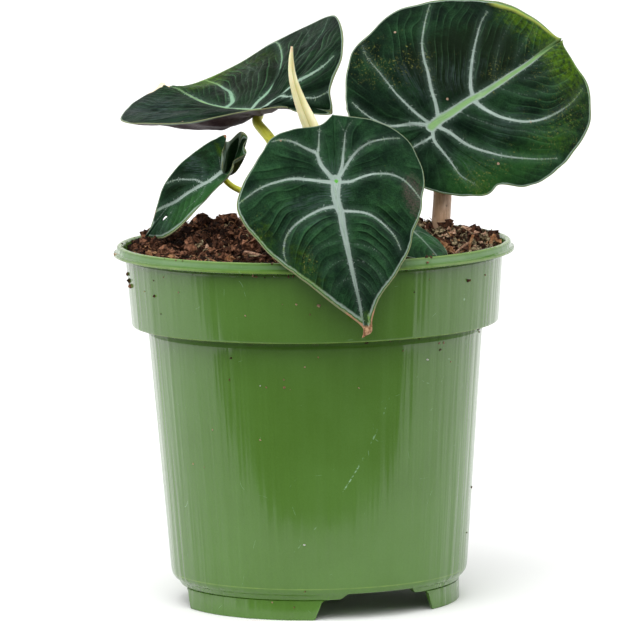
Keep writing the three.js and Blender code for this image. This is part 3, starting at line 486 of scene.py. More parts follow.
# The soil's surface: a low dome, heaps (x, y, spread x, spread y, rise) and long waves. Below it
# come its gaps to the wall, at the top and down the side, and the heights of the side's rings.
SOIL = {
    "edge": 106.3,
    "dome": 1.5,
    "radius": 52,
    "heaps": [(-28, 22, 14.5, 18, 5), (-43, 22, 5, 10, 1.8), (41, 4, 9.5, 14, 3), (28, 12, 6, 8, 3.5),
              (35, -35, 10, 10, -4.4), (-46, 0, 6, 6, -1.4)],
    "lump": 0.4,
    "waves": [(0.55, 0.62, 1.3), (0.58, -0.66, 0.4), (0.95, -0.2, 2)],
    "lowest": 102.3,
    "grid": 190,
    "reach": 55.8,
    "gaps": (0.35, 0.5),
    "side": (101, 86, 84, 79, 40, 9.8),
}


def here(points):
    """Points in millimetres from the pot's axis, as places in the frame."""
    return np.asarray(points, float) * MM + np.array(AXIS)


def arc(start, turn, length):
    """The end of an arc that starts at an angle and turns by so much for each millimetre."""
    turn = np.where(np.abs(turn) < 1e-7, 1e-7, turn)
    end = start + turn * length
    return (np.sin(end) - np.sin(start)) / turn, (np.cos(start) - np.cos(end)) / turn


def on_leaf(leaf, f, s, h):
    """Places the pattern's points, raised by h off the blade, on the bent leaf."""
    right = s < 0
    pick = lambda pair: np.where(right, pair[1], pair[0])
    cup = np.radians(pick(leaf["cup"]) + pick(leaf["twist"]) * f / leaf["reach"])
    curl = np.radians(pick(leaf["curl"])) / leaf["half"]
    near = np.minimum(np.abs(s), VALLEY)
    far = np.abs(s) - near
    y1, z1 = arc(0, cup / VALLEY, near)
    y2, z2 = arc(cup, curl, far)
    lean = cup * near / VALLEY + curl * far
    across = y1 + y2 - np.sin(lean) * h
    rise = z1 + z2 + np.cos(lean) * h
    bend = np.radians(np.where(f > 0, leaf["droop"], leaf["back"])) / leaf["reach"]
    forward, drop = arc(0, bend, f)
    heading, pitch, roll = (math.radians(leaf[k]) for k in ("heading", "pitch", "roll"))
    tipward = Vector((math.cos(pitch) * math.cos(heading), math.cos(pitch) * math.sin(heading),
                      math.sin(pitch)))
    level = Vector((-math.sin(heading), math.cos(heading), 0))
    up = tipward.cross(level)
    side = level * math.cos(roll) + up * math.sin(roll)
    normal = up * math.cos(roll) - level * math.sin(roll)
    parts = (
        (forward + rise * np.sin(bend * f), tipward),
        (np.where(right, -across, across), side),
        (rise * np.cos(bend * f) - drop, normal),
    )
    return np.array(leaf["at"]) + sum(np.outer(amount, way) for amount, way in parts)


def through(values, w):
    """A smooth curve through values that stand at 0, 1, 2 and so on."""
    values = np.asarray(values, float)
    padded = np.concatenate([[2 * values[0] - values[1]], values, [2 * values[-1] - values[-2]]])
    i = np.minimum(np.floor(w).astype(int), len(values) - 2)
    a, b, c, d = (padded[i + k] for k in range(4))
    u = w - i
    return 0.5 * (2 * b + (c - a) * u + (2 * a - 5 * b + 4 * c - d) * u**2
                  + (3 * (b - c) + d - a) * u**3)


def all_rows(leaf):
    """A leaf's rows, with one at the notch and one at the tip."""
    f, s, lift = leaf["notch"]
    tip, tip_lift, aside = (*leaf["tip"], 0)[:3]
    return [row(0, (f, s, 0, lift), (f, s, 0, lift), 0), *leaf["rows"],
            row(tip, (tip, aside, 0, tip_lift), (tip, aside, 0, tip_lift), 0)]


def pattern(rows, half, w, t):
    """Where a point at row w and share t of the way out is: f, s and its lift."""
    root = np.interp(w, range(len(rows)), [r["root"] for r in rows])
    ef, es, bow, lift, sag = (through([r["ends"][half][k] for r in rows], w) for k in range(5))
    inwards = RIPPLE * (0.5 + 0.5 * np.sin(w * 5.3 + half)) * np.sin(w * 2.1 + 1) ** 2
    inwards *= np.clip(np.abs(es) / 12 - 0.5, 0, 1)
    share = np.clip(1 - inwards / (np.hypot(ef - root, es) + 1e-9), 0.9, 1)
    ef, es = root + (ef - root) * share, es * share
    chord = np.hypot(ef - root, es) + 1e-9
    out = -1 if half else 1
    middle_f = (root + ef) / 2 - np.abs(es) / chord * bow
    middle_s = es / 2 + out * (ef - root) * bow / chord
    f = (1 - t) ** 2 * root + 2 * t * (1 - t) * middle_f + t * t * ef
    s = 2 * t * (1 - t) * middle_s + t * t * es
    return f, s, lift * t * t - sag * 4 * t * (1 - t)


def rib_numbers(rows, half):
    """How many ribs lie between the base and each row."""
    f, s, _ = pattern(rows, half, np.arange(len(rows), dtype=float), np.full(len(rows), 0.5))
    return np.concatenate([[0], np.cumsum(np.hypot(np.diff(f), np.diff(s)))]) / RIB


def eased(value, low, high):
    """0 below low, 1 above high, and a smooth step between."""
    share = np.clip((value - low) / (high - low), 0, 1)
    return share * share * (3 - 2 * share)


def nearest(places, f, s):
    """How far each point is from a smooth line, and how far along it that is."""
    at = np.linspace(0, len(places) - 1, 4 * len(places) - 3)
    line = np.stack([through(places[:, k], at) for k in (0, 1)], 1)
    best, along, passed = np.full(len(f), 99.0), np.zeros(len(f)), 0.0
    for start, end in zip(line, line[1:]):
        step = end - start
        length = math.hypot(*step)
        share = np.clip(((f - start[0]) * step[0] + (s - start[1]) * step[1]) / length**2, 0, 1)
        off = np.hypot(f - start[0] - share * step[0], s - start[1] - share * step[1])
        along = np.where(off < best, passed + share * length, along)
        best = np.minimum(best, off)
        passed += length
    return best, along, passed


def clouds(f, s, scale, layer):
    """Smooth noise at each point of the pattern."""
    return np.array([noise.noise((a * scale, b * scale, layer)) for a, b in zip(f, s)])


def veins_near(leaf, f, s):
    """How far each point is from a vein's edge, where along the vein, how strong it is there, and
    how deep inside the midrib the point is."""
    edge, along, strong = np.full(len(f), FAR), np.zeros(len(f)), np.zeros(len(f))
    inside = edge
    for number, (start, end, places) in enumerate(leaf["veins"]):
        off, passed, length = nearest(np.array(places, float), f, s)
        width = start + (end - start) * (passed / length) ** 0.6
        if number == 0:
            inside = np.clip(1 - off / width, 0, 1)
        closer = off - width < edge
        edge = np.where(closer, off - width, edge)
        along = np.where(closer, passed + 9 * number, along)
        weight = np.clip(start * 2.4, 0.45, 1) * (1 - 0.35 * (passed / length) ** 2)
        strong = np.where(closer, weight, strong)
    return edge, along, strong, inside


def vein_ridge(rows, half, w):
    """How high on the fold along a vein each row is: 1 on the vein, 0 midway to the next."""
    ridge = np.zeros(len(w))
    for number, each in enumerate(rows):
        between = np.clip(np.abs(w - number) * 2, 0, 1)
        ridge = np.maximum(ridge, each["veins"][half] * (0.5 + 0.5 * np.cos(math.pi * between)))
    return ridge


def row_span(rows, half, w, t):
    """How far apart two rows are at each point, across the way out."""
    last = len(rows) - 1
    ahead = pattern(rows, half, np.minimum(w + NUDGE, last), t)
    behind = pattern(rows, half, np.maximum(w - NUDGE, 0), t)
    step = np.array([ahead[k] - behind[k] for k in (0, 1)]) / (2 * NUDGE)
    further = pattern(rows, half, w, np.minimum(t + NUDGE / 2, 1))
    nearer = pattern(rows, half, w, np.maximum(t - NUDGE / 2, 0))
    out = np.array([further[k] - nearer[k] for k in (0, 1)])
    out /= np.hypot(*out) + TINY
    return np.abs(step[0] * out[1] - step[1] * out[0])


def rim_share(leaf, rows, half, w, f, s):
    """How far each point is from the margin, in widths of the pale rim."""
    last = len(rows) - 1
    rim_f, rim_s, _ = pattern(rows, half, w, np.ones(len(f)))
    ends = [[each["ends"][half][k] for each in rows] for k in (0, 1)]
    way = np.array([through(end, np.minimum(w + NUDGE, last)) - through(end, np.maximum(w - NUDGE, 0))
                    for end in ends])
    way /= np.hypot(*way) + TINY
    off = np.abs((rim_f - f) * way[1] - (rim_s - s) * way[0])
    width = np.interp(w, np.linspace(0, last, len(leaf["rims"][half])), leaf["rims"][half])
    at_notch = np.hypot(rim_f - leaf["notch"][0], rim_s - leaf["notch"][1]) < 1e-6
    return np.where(at_notch, FAR, off / width)


def half_blade(leaf, half, w, share):
    """One half's upper and lower skin at rows w and shares of the way out, and its marks."""
    rows = all_rows(leaf)
    share = np.where(w >= len(rows) - 1, 1.0, share)
    f, s, lift = pattern(rows, half, w, share)
    span = row_span(rows, half, w, share)
    edge, along, strong, inside = veins_near(leaf, f, s)
    ridge = vein_ridge(rows, half, w)
    ribbed = leaf["ribs"] * np.clip(span / 9, 0, 1) * np.clip(share * 6 - 0.3, 0, 1) * (1 - share**8)
    ribbed *= np.clip(0.8 + 2.2 * clouds(f, s, 0.09, 7.0 + half), 0.1, 1)
    turn = np.interp(w, range(len(rows)), rib_numbers(rows, half))
    turn = turn + 0.9 * clouds(f, s, 0.11, 3.0 + half)
    crest = eased(turn % 1, 0.1, 0.75) * (1 - eased(turn % 1, 0.84, 1))
    marks = {
        "turn": turn, "edge": edge, "along": along, "strong": strong, "share": share,
        "ribbed": ribbed, "core": leaf["core"] * inside, "tone": np.full(len(f), leaf["tone"]),
        "rim": rim_share(leaf, rows, half, w, f, s),
    }
    for kind, patch_f, patch_s, spread_f, spread_s, amount in leaf["patches"]:
        away = ((f - patch_f) / spread_f) ** 2 + ((s - patch_s) / spread_s) ** 2
        marks[kind] = marks.get(kind, 0) + amount * np.exp(-away / 2)
    # the blade puffs up between its veins and rises a little at each rib
    belly = np.sin(math.pi * share) ** 0.8
    grain = clouds(f, s, 0.16, half * 9.0) * 0.6 + clouds(f, s, 0.5, half * 5.0) * 0.12
    puff = leaf["quilt"] * (1 - ridge) * belly * np.clip(span / 8, 0, 1)
    height = lift + puff + 0.2 * crest * ribbed * (1 - 0.7 * ridge) + grain * belly
    # a vein is a shallow groove above and a rib below, and the midrib's is the thickest
    core = (THICK - (THICK - THIN) * share**4) / 2
    groove = 0.16 * np.exp(-np.square(np.maximum(edge, 0) / 0.35)) * (1 - share)
    rib = 0.5 * np.exp(-np.square(np.maximum(edge, 0) / 0.5)) * (1 - share**2)
    tipward = np.clip(f / leaf["tip"][0], 0, 1)
    rib += leaf["veins"][0][0] * 0.45 * np.exp(-np.square(s / 1.1)) * (1 - tipward) * (f > -2)
    top = on_leaf(leaf, f, s, height + core - groove)
    return top, on_leaf(leaf, f, s, height - core - rib * (share < 1)), marks


def blade_sheet(leaf, w, across):
    """The upper and lower skin at rows w and shares across, -1 to 1, and the marks there."""
    top, under = np.zeros((len(w), 3)), np.zeros((len(w), 3))
    marks = {name: np.zeros(len(w)) for name in MARKS}
    for half, chosen in enumerate((across >= 0, across < 0)):
        share = np.abs(across[chosen])
        top[chosen], under[chosen], values = half_blade(leaf, half, w[chosen], share)
        for name, value in values.items():
            marks[name][chosen] = value
    return top, under, marks


# Meshes


def finished(name, bm, skins, node=None, smooth=True):
    """Turns a bmesh into a piece that rides on the plant and, if named, replaces a node."""
    mesh = bpy.data.meshes.new(name)
    for face in bm.faces:
        face.smooth = smooth
    bm.to_mesh(mesh)
    bm.free()
    piece = bpy.data.objects.new(name, mesh)
    bpy.context.scene.collection.objects.link(piece)
    for skin in skins:
        mesh.materials.append(skin)
    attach(piece, BODY)
    if node:
        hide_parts(node)
    return piece


def blade(name, leaf, rows_fine, shares_fine, skins):
    """A closed blade: two fine skins over one grid, joined round the margin."""
    bm = bmesh.new()
    layers = {mark: bm.verts.layers.float.new(mark) for mark in MARKS}
    lower = bm.verts.layers.float_vector.new("lower")
    last = len(all_rows(leaf)) - 1
    bmesh.ops.create_grid(bm, x_segments=last * rows_fine, y_segments=2 * shares_fine, size=1)
    flat = np.array([vert.co[:2] for vert in bm.verts])
    w = np.clip(np.round((flat[:, 0] + 1) / 2 * last, 5), 0, last)
    across = np.round(flat[:, 1], 5)
    across = np.sign(across) * np.abs(across) ** 0.85
    top, under, marks = blade_sheet(leaf, w, across)
    for vert, high, low in zip(bm.verts, here(top), here(under)):
        vert.co = high
        vert[lower] = low
    for mark, layer in layers.items():
        for vert, value in zip(bm.verts, marks[mark]):
            vert[layer] = value
    bmesh.ops.remove_doubles(bm, verts=bm.verts, dist=1e-7)
    hole = layers["hole"]
    torn = [face for face in bm.faces if max(vert[hole] for vert in face.verts) > TORN]
    bmesh.ops.delete(bm, geom=torn, context="FACES")
    upper = bm.faces[:]
    copied = bmesh.ops.duplicate(bm, geom=bm.verts[:] + bm.edges[:] + upper)["geom"]
    for item in copied:
        if isinstance(item, bmesh.types.BMVert):
            item.co = item[lower]
        elif isinstance(item, bmesh.types.BMFace):
            item.material_index = 1
    margin = [edge for face in upper for edge in face.edges if edge.is_boundary]
    strip = bmesh.ops.extrude_edge_only(bm, edges=margin)["geom"]
    for item in strip:
        if isinstance(item, bmesh.types.BMVert):
            item.co = item[lower]
    bmesh.ops.remove_doubles(bm, verts=bm.verts, dist=1e-7)
    bmesh.ops.recalc_face_normals(bm, faces=bm.faces)
    bm.verts.layers.float_vector.remove(lower)
    piece = finished(name.replace("blade", "leaf"), bm, skins, name)
    return piece


def path_point(points, at):
    """A place on the smooth curve through points."""
    return Vector([float(through([p[k] for p in points], np.array([at]))[0]) for k in range(3)])


def rod(bm, path, radii, sides, steps, section=None):
    """A smooth tapered rod along a path, from a grid that is rolled up round it."""
    spans = len(path) - 1
    along, around = (bm.verts.layers.float.get(name) or bm.verts.layers.float.new(name)
                     for name in ("along", "round"))
    made = bmesh.ops.create_grid(bm, x_segments=spans * steps, y_segments=sides, size=1)["verts"]
    rings = {}
    for vert in made:
        at = round((vert.co.x + 1) / 2 * spans, 5)
        if at not in rings:
            ahead = (path_point(path, min(at + NUDGE, spans))
                     - path_point(path, max(at - NUDGE, 0)))
            side = ahead.cross(Vector((0, 1, 0))).normalized()
            radius = float(through(radii, np.array([at]))[0])
            rings[at] = path_point(path, at), side, side.cross(ahead).normalized(), radius
        place, side, up, radius = rings[at]
        turn = round((vert.co.y + 1) / 2, 5)
        reach = radius * (section(at / spans, turn) if section else 1)
        angle = 2 * math.pi * turn
        point = place + side * math.cos(angle) * reach + up * math.sin(angle) * reach
        vert[along], vert[around] = at, turn
        vert.co = Vector(here(point))
    ends = [vert for vert in made if vert[along] in (0, spans) and vert[around] < 1]
    bmesh.ops.remove_doubles(bm, verts=made, dist=1e-7)
    rims = {edge for vert in ends if vert.is_valid for edge in vert.link_edges if edge.is_boundary}
    bmesh.ops.holes_fill(bm, edges=list(rims), sides=0)
    skin = {face for vert in made if vert.is_valid for face in vert.link_faces}
    bmesh.ops.recalc_face_normals(bm, faces=list(skin))


# Node helpers


def feed(tree, socket, value):
    """Links a socket to an output, or gives it a value, which is opaque if it is a colour."""
    if isinstance(value, bpy.types.NodeSocket):
        tree.links.new(value, socket)
    elif value is not None:
        socket.default_value = (*value, 1) if socket.type == "RGBA" else value


def put(tree, kind, *values, **settings):
    """Adds a node, sets its options, and feeds its inputs in order."""
    node = tree.nodes.new(kind)
    for key, value in settings.items():
        setattr(node, key, value)
    for socket, value in zip([socket for socket in node.inputs if socket.enabled], values):
        feed(tree, socket, value)
    return node


def sum_of(tree, operation, *values):
    """One step of arithmetic."""
    return put(tree, "ShaderNodeMath", *values, operation=operation).outputs[0]


def times(tree, *values):
    """All the values multiplied."""
    result = values[0]
    for value in values[1:]:
        result = sum_of(tree, "MULTIPLY", result, value)
    return result


def plus(tree, first, second):
    return sum_of(tree, "ADD", first, second)


def apart(tree, first, second):
    """How far two values are from each other."""
    return sum_of(tree, "ABSOLUTE", sum_of(tree, "SUBTRACT", first, second))


def centred(tree, value):
    """A value that lies round a half, moved to lie round 0."""
    return sum_of(tree, "SUBTRACT", value, 0.5)


def blend(tree, share, first, second, kind="MIX"):
    """A share of the second colour laid over the first."""
    node = put(tree, "ShaderNodeMix", share, first, second, data_type="RGBA", blend_type=kind)
    return node.outputs[2]


def blend_value(tree, share, first, second):
    """The first number, with a share of the second."""
    return put(tree, "ShaderNodeMix", share, first, second, data_type="FLOAT").outputs[0]


def scaled(tree, value, low, high, to_low=0.0, to_high=1.0, curve="LINEAR"):
    """A value taken from one range into another, and held inside it."""
    return put(tree, "ShaderNodeMapRange", value, low, high, to_low, to_high,
               interpolation_type=curve).outputs[0]


def mark(tree, name):
    """A number that the mesh carries at each point."""
    return put(tree, "ShaderNodeAttribute", attribute_name=name).outputs["Fac"]


def vector(tree, x, y, z):
    return put(tree, "ShaderNodeCombineXYZ", x, y, z).outputs[0]


def grey(tree, value):
    return vector(tree, value, value, value)


def noisy(tree, place, scale, detail=2.0, rough=0.5):
    """Cloudy noise from 0 to 1."""
    return put(tree, "ShaderNodeTexNoise", place, scale, detail, rough).outputs[0]


def group(name, inputs, outputs):
    """A new node group with the sockets named, as (name, type, default)."""
    tree = bpy.data.node_groups.new(name, "ShaderNodeTree")
    for socket, kind, default in inputs:
        made = tree.interface.new_socket(socket, in_out="INPUT", socket_type=kind)
        if default is not None:
            made.default_value = default
    for socket, kind in outputs:
        tree.interface.new_socket(socket, in_out="OUTPUT", socket_type=kind)
    return tree, tree.nodes.new("NodeGroupInput").outputs, tree.nodes.new("NodeGroupOutput").inputs


def use(tree, name, **values):
    """Places a node group in a material, and makes the group when it is first wanted."""
    node = tree.nodes.new("ShaderNodeGroup")
    node.node_tree = bpy.data.node_groups.get(name) or GROUPS[name]()
    for key, value in values.items():
        feed(tree, node.inputs[key.capitalize()], value)
    return node.outputs


def mottle(tree, place, scale, low, high):
    """A colour that changes from low to high in clouds."""
    return use(tree, "mottle", place=place, scale=scale, low=low, high=high)["Colour"]


def material(name, **sockets):
    """A new material, its tree and its shader, with values for the shader's own sockets."""
    made = bpy.data.materials.new(name)
    made.use_nodes = True
    shader = made.node_tree.nodes["Principled BSDF"]
    for key, value in sockets.items():
        feed(made.node_tree, shader.inputs[key.replace("_", " ")], value)
    return made, made.node_tree, shader


def object_place(tree):
    """Object coordinates in millimetres from the pot's axis."""
    place = put(tree, "ShaderNodeTexCoord").outputs["Object"]
    moved = [-value / MM for value in AXIS]
    return put(tree, "ShaderNodeMapping", place, moved, None, [1 / MM] * 3).outputs[0]


def relieved(tree, shader, height, distance, strength=1.0):
    """Feeds a height into the shader's normal."""
    bump = tree.nodes.new("ShaderNodeBump")
    bump.inputs["Strength"].default_value = strength
    bump.inputs["Distance"].default_value = distance * MM
    tree.links.new(height, bump.inputs["Height"])
    tree.links.new(bump.outputs[0], shader.inputs["Normal"])


FLOAT, COLOUR, VECTOR = "NodeSocketFloat", "NodeSocketColor", "NodeSocketVector"


def specks_group():
    """Small ragged spots, a share of the cells at a scale, each with a shade of its own."""
    tree, given, out = group(
        "specks",
        [("Place", VECTOR, None), ("Scale", FLOAT, 1.0), ("Size", FLOAT, 0.2),
         ("Amount", FLOAT, 0.1)],
        [("Mask", FLOAT), ("Shade", FLOAT)],
    )
    place, scale, size, amount = given[:4]
    cells = put(tree, "ShaderNodeTexVoronoi", place, scale)
    shade = put(tree, "ShaderNodeSeparateColor", cells.outputs["Color"]).outputs
    reach = times(tree, size, plus(tree, shade[2], noisy(tree, place, 5.0)))
    near = sum_of(tree, "LESS_THAN", cells.outputs["Distance"], reach)
    chosen = sum_of(tree, "LESS_THAN", shade[0], amount)
    feed(tree, out[0], times(tree, near, chosen))
    feed(tree, out[1], shade[1])
    return tree


def mottle_group():
    """Cloudy change from one colour to another."""
    tree, given, out = group(
        "mottle",
        [("Place", VECTOR, None), ("Scale", FLOAT, 1.0), ("Low", COLOUR, (0, 0, 0, 1)),
         ("High", COLOUR, (1, 1, 1, 1))],
        [("Colour", COLOUR)],
    )
    place, scale, low, high = given[:4]
    share = scaled(tree, noisy(tree, place, scale, 4.0, 0.6), 0.35, 0.68, curve="SMOOTHSTEP")
    feed(tree, out[0], blend(tree, share, low, high))
    return tree


def feathered_group():
    """A vein's mask, with thin barbs along its edge, and the haze beside it."""
    tree, given, out = group(
        "feathered_veins",
        [("Edge", FLOAT, 1.0), ("Along", FLOAT, 0.0), ("Spike", FLOAT, 0.8),
         ("Strong", FLOAT, 1.0)],
        [("Mask", FLOAT), ("Haze", FLOAT)],
    )
    edge, along, spike, strong = given[:4]
    slant = sum_of(tree, "MULTIPLY_ADD", edge, 0.5, along)
    barbs = noisy(tree, vector(tree, slant, times(tree, edge, 0.2), 0), 3.6, 2.0, 0.6)
    spikes = times(tree, scaled(tree, barbs, 0.52, 0.76), spike)
    wobble = times(tree, centred(tree, barbs), 0.6)
    off = sum_of(tree, "SUBTRACT", edge, sum_of(tree, "MULTIPLY_ADD", spikes, strong, wobble))
    for socket, low, high in ((out[0], 0.05, -0.2), (out[1], 2.2, -0.1)):
        near = scaled(tree, off, low, high, curve="SMOOTHSTEP")
        feed(tree, socket, times(tree, near, strong))
    return tree


GROUPS = {"specks": specks_group, "mottle": mottle_group, "feathered_veins": feathered_group}


# Materials


def patch(tree, name, ragged, low, high):
    """Where a blade has one of its patches, with a ragged edge."""
    return scaled(tree, plus(tree, mark(tree, name), ragged), low, high, curve="SMOOTHSTEP")


def velvet(tree, look, place, ragged):
    """Near-black green in broad patches with a fine grain, as deep as each blade's own tone."""
    colour = mottle(tree, place, 0.11, look.dark, look.light)
    tint = mottle(tree, place, 0.4, (0.82, 0.84, 0.86), (1.2, 1.16, 1.1))
    colour = blend(tree, 1.0, colour, tint, "MULTIPLY")
    grain = scaled(tree, noisy(tree, place, 3.2, 3.0, 0.7), 0.32, 0.68, 0.55, 1.6)
    deep = times(tree, scaled(tree, mark(tree, "tone"), 0, 1, 0.5, 1.6), grain)
    colour = blend(tree, 1.0, colour, grey(tree, deep), "MULTIPLY")
    lit = times(tree, patch(tree, "lit", ragged, 0.2, 1.1), 0.6)
    colour = blend(tree, lit, colour, (0.026, 0.1, 0.02))
    shade = times(tree, patch(tree, "shade", ragged, 0.2, 0.8), 0.8)
    return blend(tree, shade, colour, (0.006, 0.012, 0.005))


def sheen_and_ageing(tree, look, place, ragged, turn, colour):
    """Painted silver grey sheen in short streaks that run with the ribs, and yellow where it ages."""
    run = vector(tree, times(tree, turn, 2.2), times(tree, mark(tree, "share"), 2.6), 0)
    streaks = scaled(tree, noisy(tree, run, 2.0, 3.0, 0.6), 0.42, 0.6)
    # painted sheen in streaks on the silver patches
    painted_sheen = times(tree, patch(tree, "silver", ragged, 0.1, 1.0), streaks, 0.6)
    colour = blend(tree, painted_sheen, colour, look.painted_sheen)
    cloudy = scaled(tree, noisy(tree, place, 0.55, 5.0, 0.7), 0.38, 0.6, 0.15, 1)
    ripe = times(tree, patch(tree, "yellow", ragged, 0.15, 1.1), cloudy, 0.9)
    return blend(tree, ripe, colour, look.ripe)


def ribs(tree, place, ragged, turn, colour):
    """Ribs between the veins: painted light brightens each as it rises slowly to a pale line, and
    painted shade darkens the groove it drops into. Also gives how high on a rib a place is."""
    rise = sum_of(tree, "FRACT", turn)
    uneven = scaled(tree, noisy(tree, place, 0.12, 2.0), 0.3, 0.5, 0.2, 1)
    ribbed = times(tree, mark(tree, "ribbed"), uneven)
    crest = scaled(tree, rise, 0.2, 0.82, curve="SMOOTHSTEP")
    groove = scaled(tree, sum_of(tree, "PINGPONG", rise, 0.5), 0.12, 0.0, curve="SMOOTHSTEP")
    # painted light on each rib's rising side and painted shade in its groove
    painted_rib_shading = times(tree, ribbed, scaled(tree, crest, 0, 1, -0.35, 0.5))
    shading = plus(tree, plus(tree, painted_rib_shading, times(tree, ribbed, groove, -0.62)), 1.0)
    colour = blend(tree, 1.0, colour, grey(tree, shading), "MULTIPLY")
    line = scaled(tree, apart(tree, rise, 0.86), 0.08, 0.03)
    fresh = scaled(tree, plus(tree, mark(tree, "mint"), mark(tree, "yellow")), 0.1, 0.8, 0.4, 0.65)
    colour = blend(tree, times(tree, line, ribbed, fresh), colour, (0.055, 0.14, 0.06))
    # fainter and finer lines between them
    small = sum_of(tree, "FRACT", plus(tree, times(tree, turn, 2.7), times(tree, ragged, 0.25)))
    faint = scaled(tree, sum_of(tree, "PINGPONG", small, 0.5), 0.1, 0.0)
    colour = blend(tree, times(tree, faint, ribbed, fresh, 0.4), colour, (0.05, 0.13, 0.05))
    return colour, times(tree, crest, ribbed)


def pale_veins(tree, look, ragged, colour):
    """Pale veins, feathered at their edges, greener where the blade ages. Also gives their mask."""
    edge, along = mark(tree, "edge"), mark(tree, "along")
    veins = use(tree, "feathered_veins", edge=edge, along=along, spike=0.75,
                strong=mark(tree, "strong"))
    colour = blend(tree, times(tree, veins["Haze"], 0.16), colour, (0.12, 0.2, 0.15))
    outer = times(tree, mark(tree, "share"), scaled(tree, ragged, -0.2, 0.2))
    greener = plus(tree, patch(tree, "yellow", ragged, 0.1, 0.8), outer)
    pale = blend(tree, scaled(tree, greener, 0.3, 1.2), look.vein, (0.22, 0.34, 0.08))
    pale = blend(tree, mark(tree, "mint"), pale, look.mint)
    pale = blend(tree, scaled(tree, mark(tree, "core"), 0.2, 0.6), pale, look.core)
    run = vector(tree, times(tree, along, 0.12), times(tree, edge, 2.4), 0)
    lengthwise = scaled(tree, noisy(tree, run, 2.0, 3.0), 0.35, 0.65, 0.0, 0.4)
    pale = blend(tree, lengthwise, pale, (0.1, 0.18, 0.12))
    pale = blend(tree, patch(tree, "bud", ragged, 0.5, 0.9), pale, (0.12, 0.4, 0.06))
    return blend(tree, times(tree, veins["Mask"], 0.96), colour, pale), veins["Mask"]


def margin(tree, look, place, ragged, colour):
    """The margin: a silver line inside, a green one, a paler lip, and tan where it has dried."""
    rim = plus(tree, mark(tree, "rim"), times(tree, ragged, 0.7))
    cream = times(tree, patch(tree, "cream", ragged, 0.3, 0.9), scaled(tree, rim, 2.4, 1.2), 0.85)
    colour = blend(tree, cream, colour, (0.36, 0.4, 0.08))
    silver = blend(tree, patch(tree, "yellow", ragged, 0.1, 0.7), look.margin, (0.17, 0.3, 0.06))
    colour = blend(tree, times(tree, scaled(tree, rim, 1.2, 0.85), 0.9), colour, silver)
    colour = blend(tree, scaled(tree, rim, 0.68, 0.56), colour, (0.06, 0.14, 0.04))
    lip = blend(tree, patch(tree, "tan", ragged, 0.0, 0.4), look.lip, (0.42, 0.24, 0.14))
    colour = blend(tree, scaled(tree, rim, 0.4, 0.3), colour, lip)
    dry = mottle(tree, place, 0.9, (0.2, 0.09, 0.045), (0.55, 0.34, 0.2))
    colour = blend(tree, patch(tree, "tan", ragged, 0.5, 0.9), colour, dry)
    return blend(tree, patch(tree, "dry", ragged, 0.4, 0.7), colour, (0.78, 0.68, 0.5))


def flecked(tree, place, colour):
    """Clusters of yellow flecks, and crumbs of soil."""
    flecks = scaled(tree, noisy(tree, place, 1.5, 5.0, 0.8), 0.565, 0.64)
    uneven = times(tree, centred(tree, noisy(tree, place, 0.3, 3.0)), 2.6)
    clustered = scaled(tree, plus(tree, mark(tree, "speckle"), uneven), 0.5, 1.05)
    tints = blend(tree, noisy(tree, place, 0.9, 2.0), (0.1, 0.15, 0.02), (0.3, 0.27, 0.08))
    colour = blend(tree, times(tree, flecks, clustered, 0.85), colour, tints)
    crumbs = use(tree, "specks", place=place, scale=0.2, size=0.06, amount=0.25)
    return blend(tree, crumbs["Mask"], colour, (0.35, 0.24, 0.17))


def leaf_upper(look):
    """Dark velvet with pale veins, for the upper side of the blades."""
    made, tree, shader = material("leaf_upper", Roughness=0.5, Specular_IOR_Level=0.03,
                                  Sheen_Weight=0.01, Sheen_Roughness=0.4,
                                  Sheen_Tint=(0.75, 0.95, 0.9))
    place = object_place(tree)
    ragged = centred(tree, noisy(tree, place, 0.7, 4.0, 0.65))
    turn = plus(tree, mark(tree, "turn"), times(tree, ragged, 0.12))
    colour = sheen_and_ageing(tree, look, place, ragged, turn, velvet(tree, look, place, ragged))
    colour, crest = ribs(tree, place, ragged, turn, colour)
    blotch = scaled(tree, noisy(tree, place, 2.2, 3.0, 0.7), 0.42, 0.62, 0.15, 0.8)
    purple = times(tree, patch(tree, "purple", ragged, 0.3, 0.9), blotch)
    colour, veins = pale_veins(tree, look, ragged, blend(tree, purple, colour, (0.085, 0.06, 0.055)))
    colour = flecked(tree, place, margin(tree, look, place, ragged, colour))
    feed(tree, shader.inputs["Base Color"], colour)
    rough = scaled(tree, noisy(tree, place, 0.5, 4.0, 0.7), 0.3, 0.7, 0.38, 0.62)
    feed(tree, shader.inputs["Roughness"], blend_value(tree, veins, rough, 0.6))
    # relief: velvet cells, small wrinkles, ribs and raised pale veins
    cells = put(tree, "ShaderNodeTexVoronoi", place, 2.6).outputs["Distance"]
    wrinkles = times(tree, noisy(tree, place, 0.9, 4.0, 0.6), 0.45)
    relief = plus(tree, times(tree, cells, 0.07), wrinkles)
    relief = plus(tree, relief, times(tree, crest, 0.12))
    relief = plus(tree, relief, times(tree, veins, 0.12))
    relieved(tree, shader, relief, 0.7, 0.8)
    return made


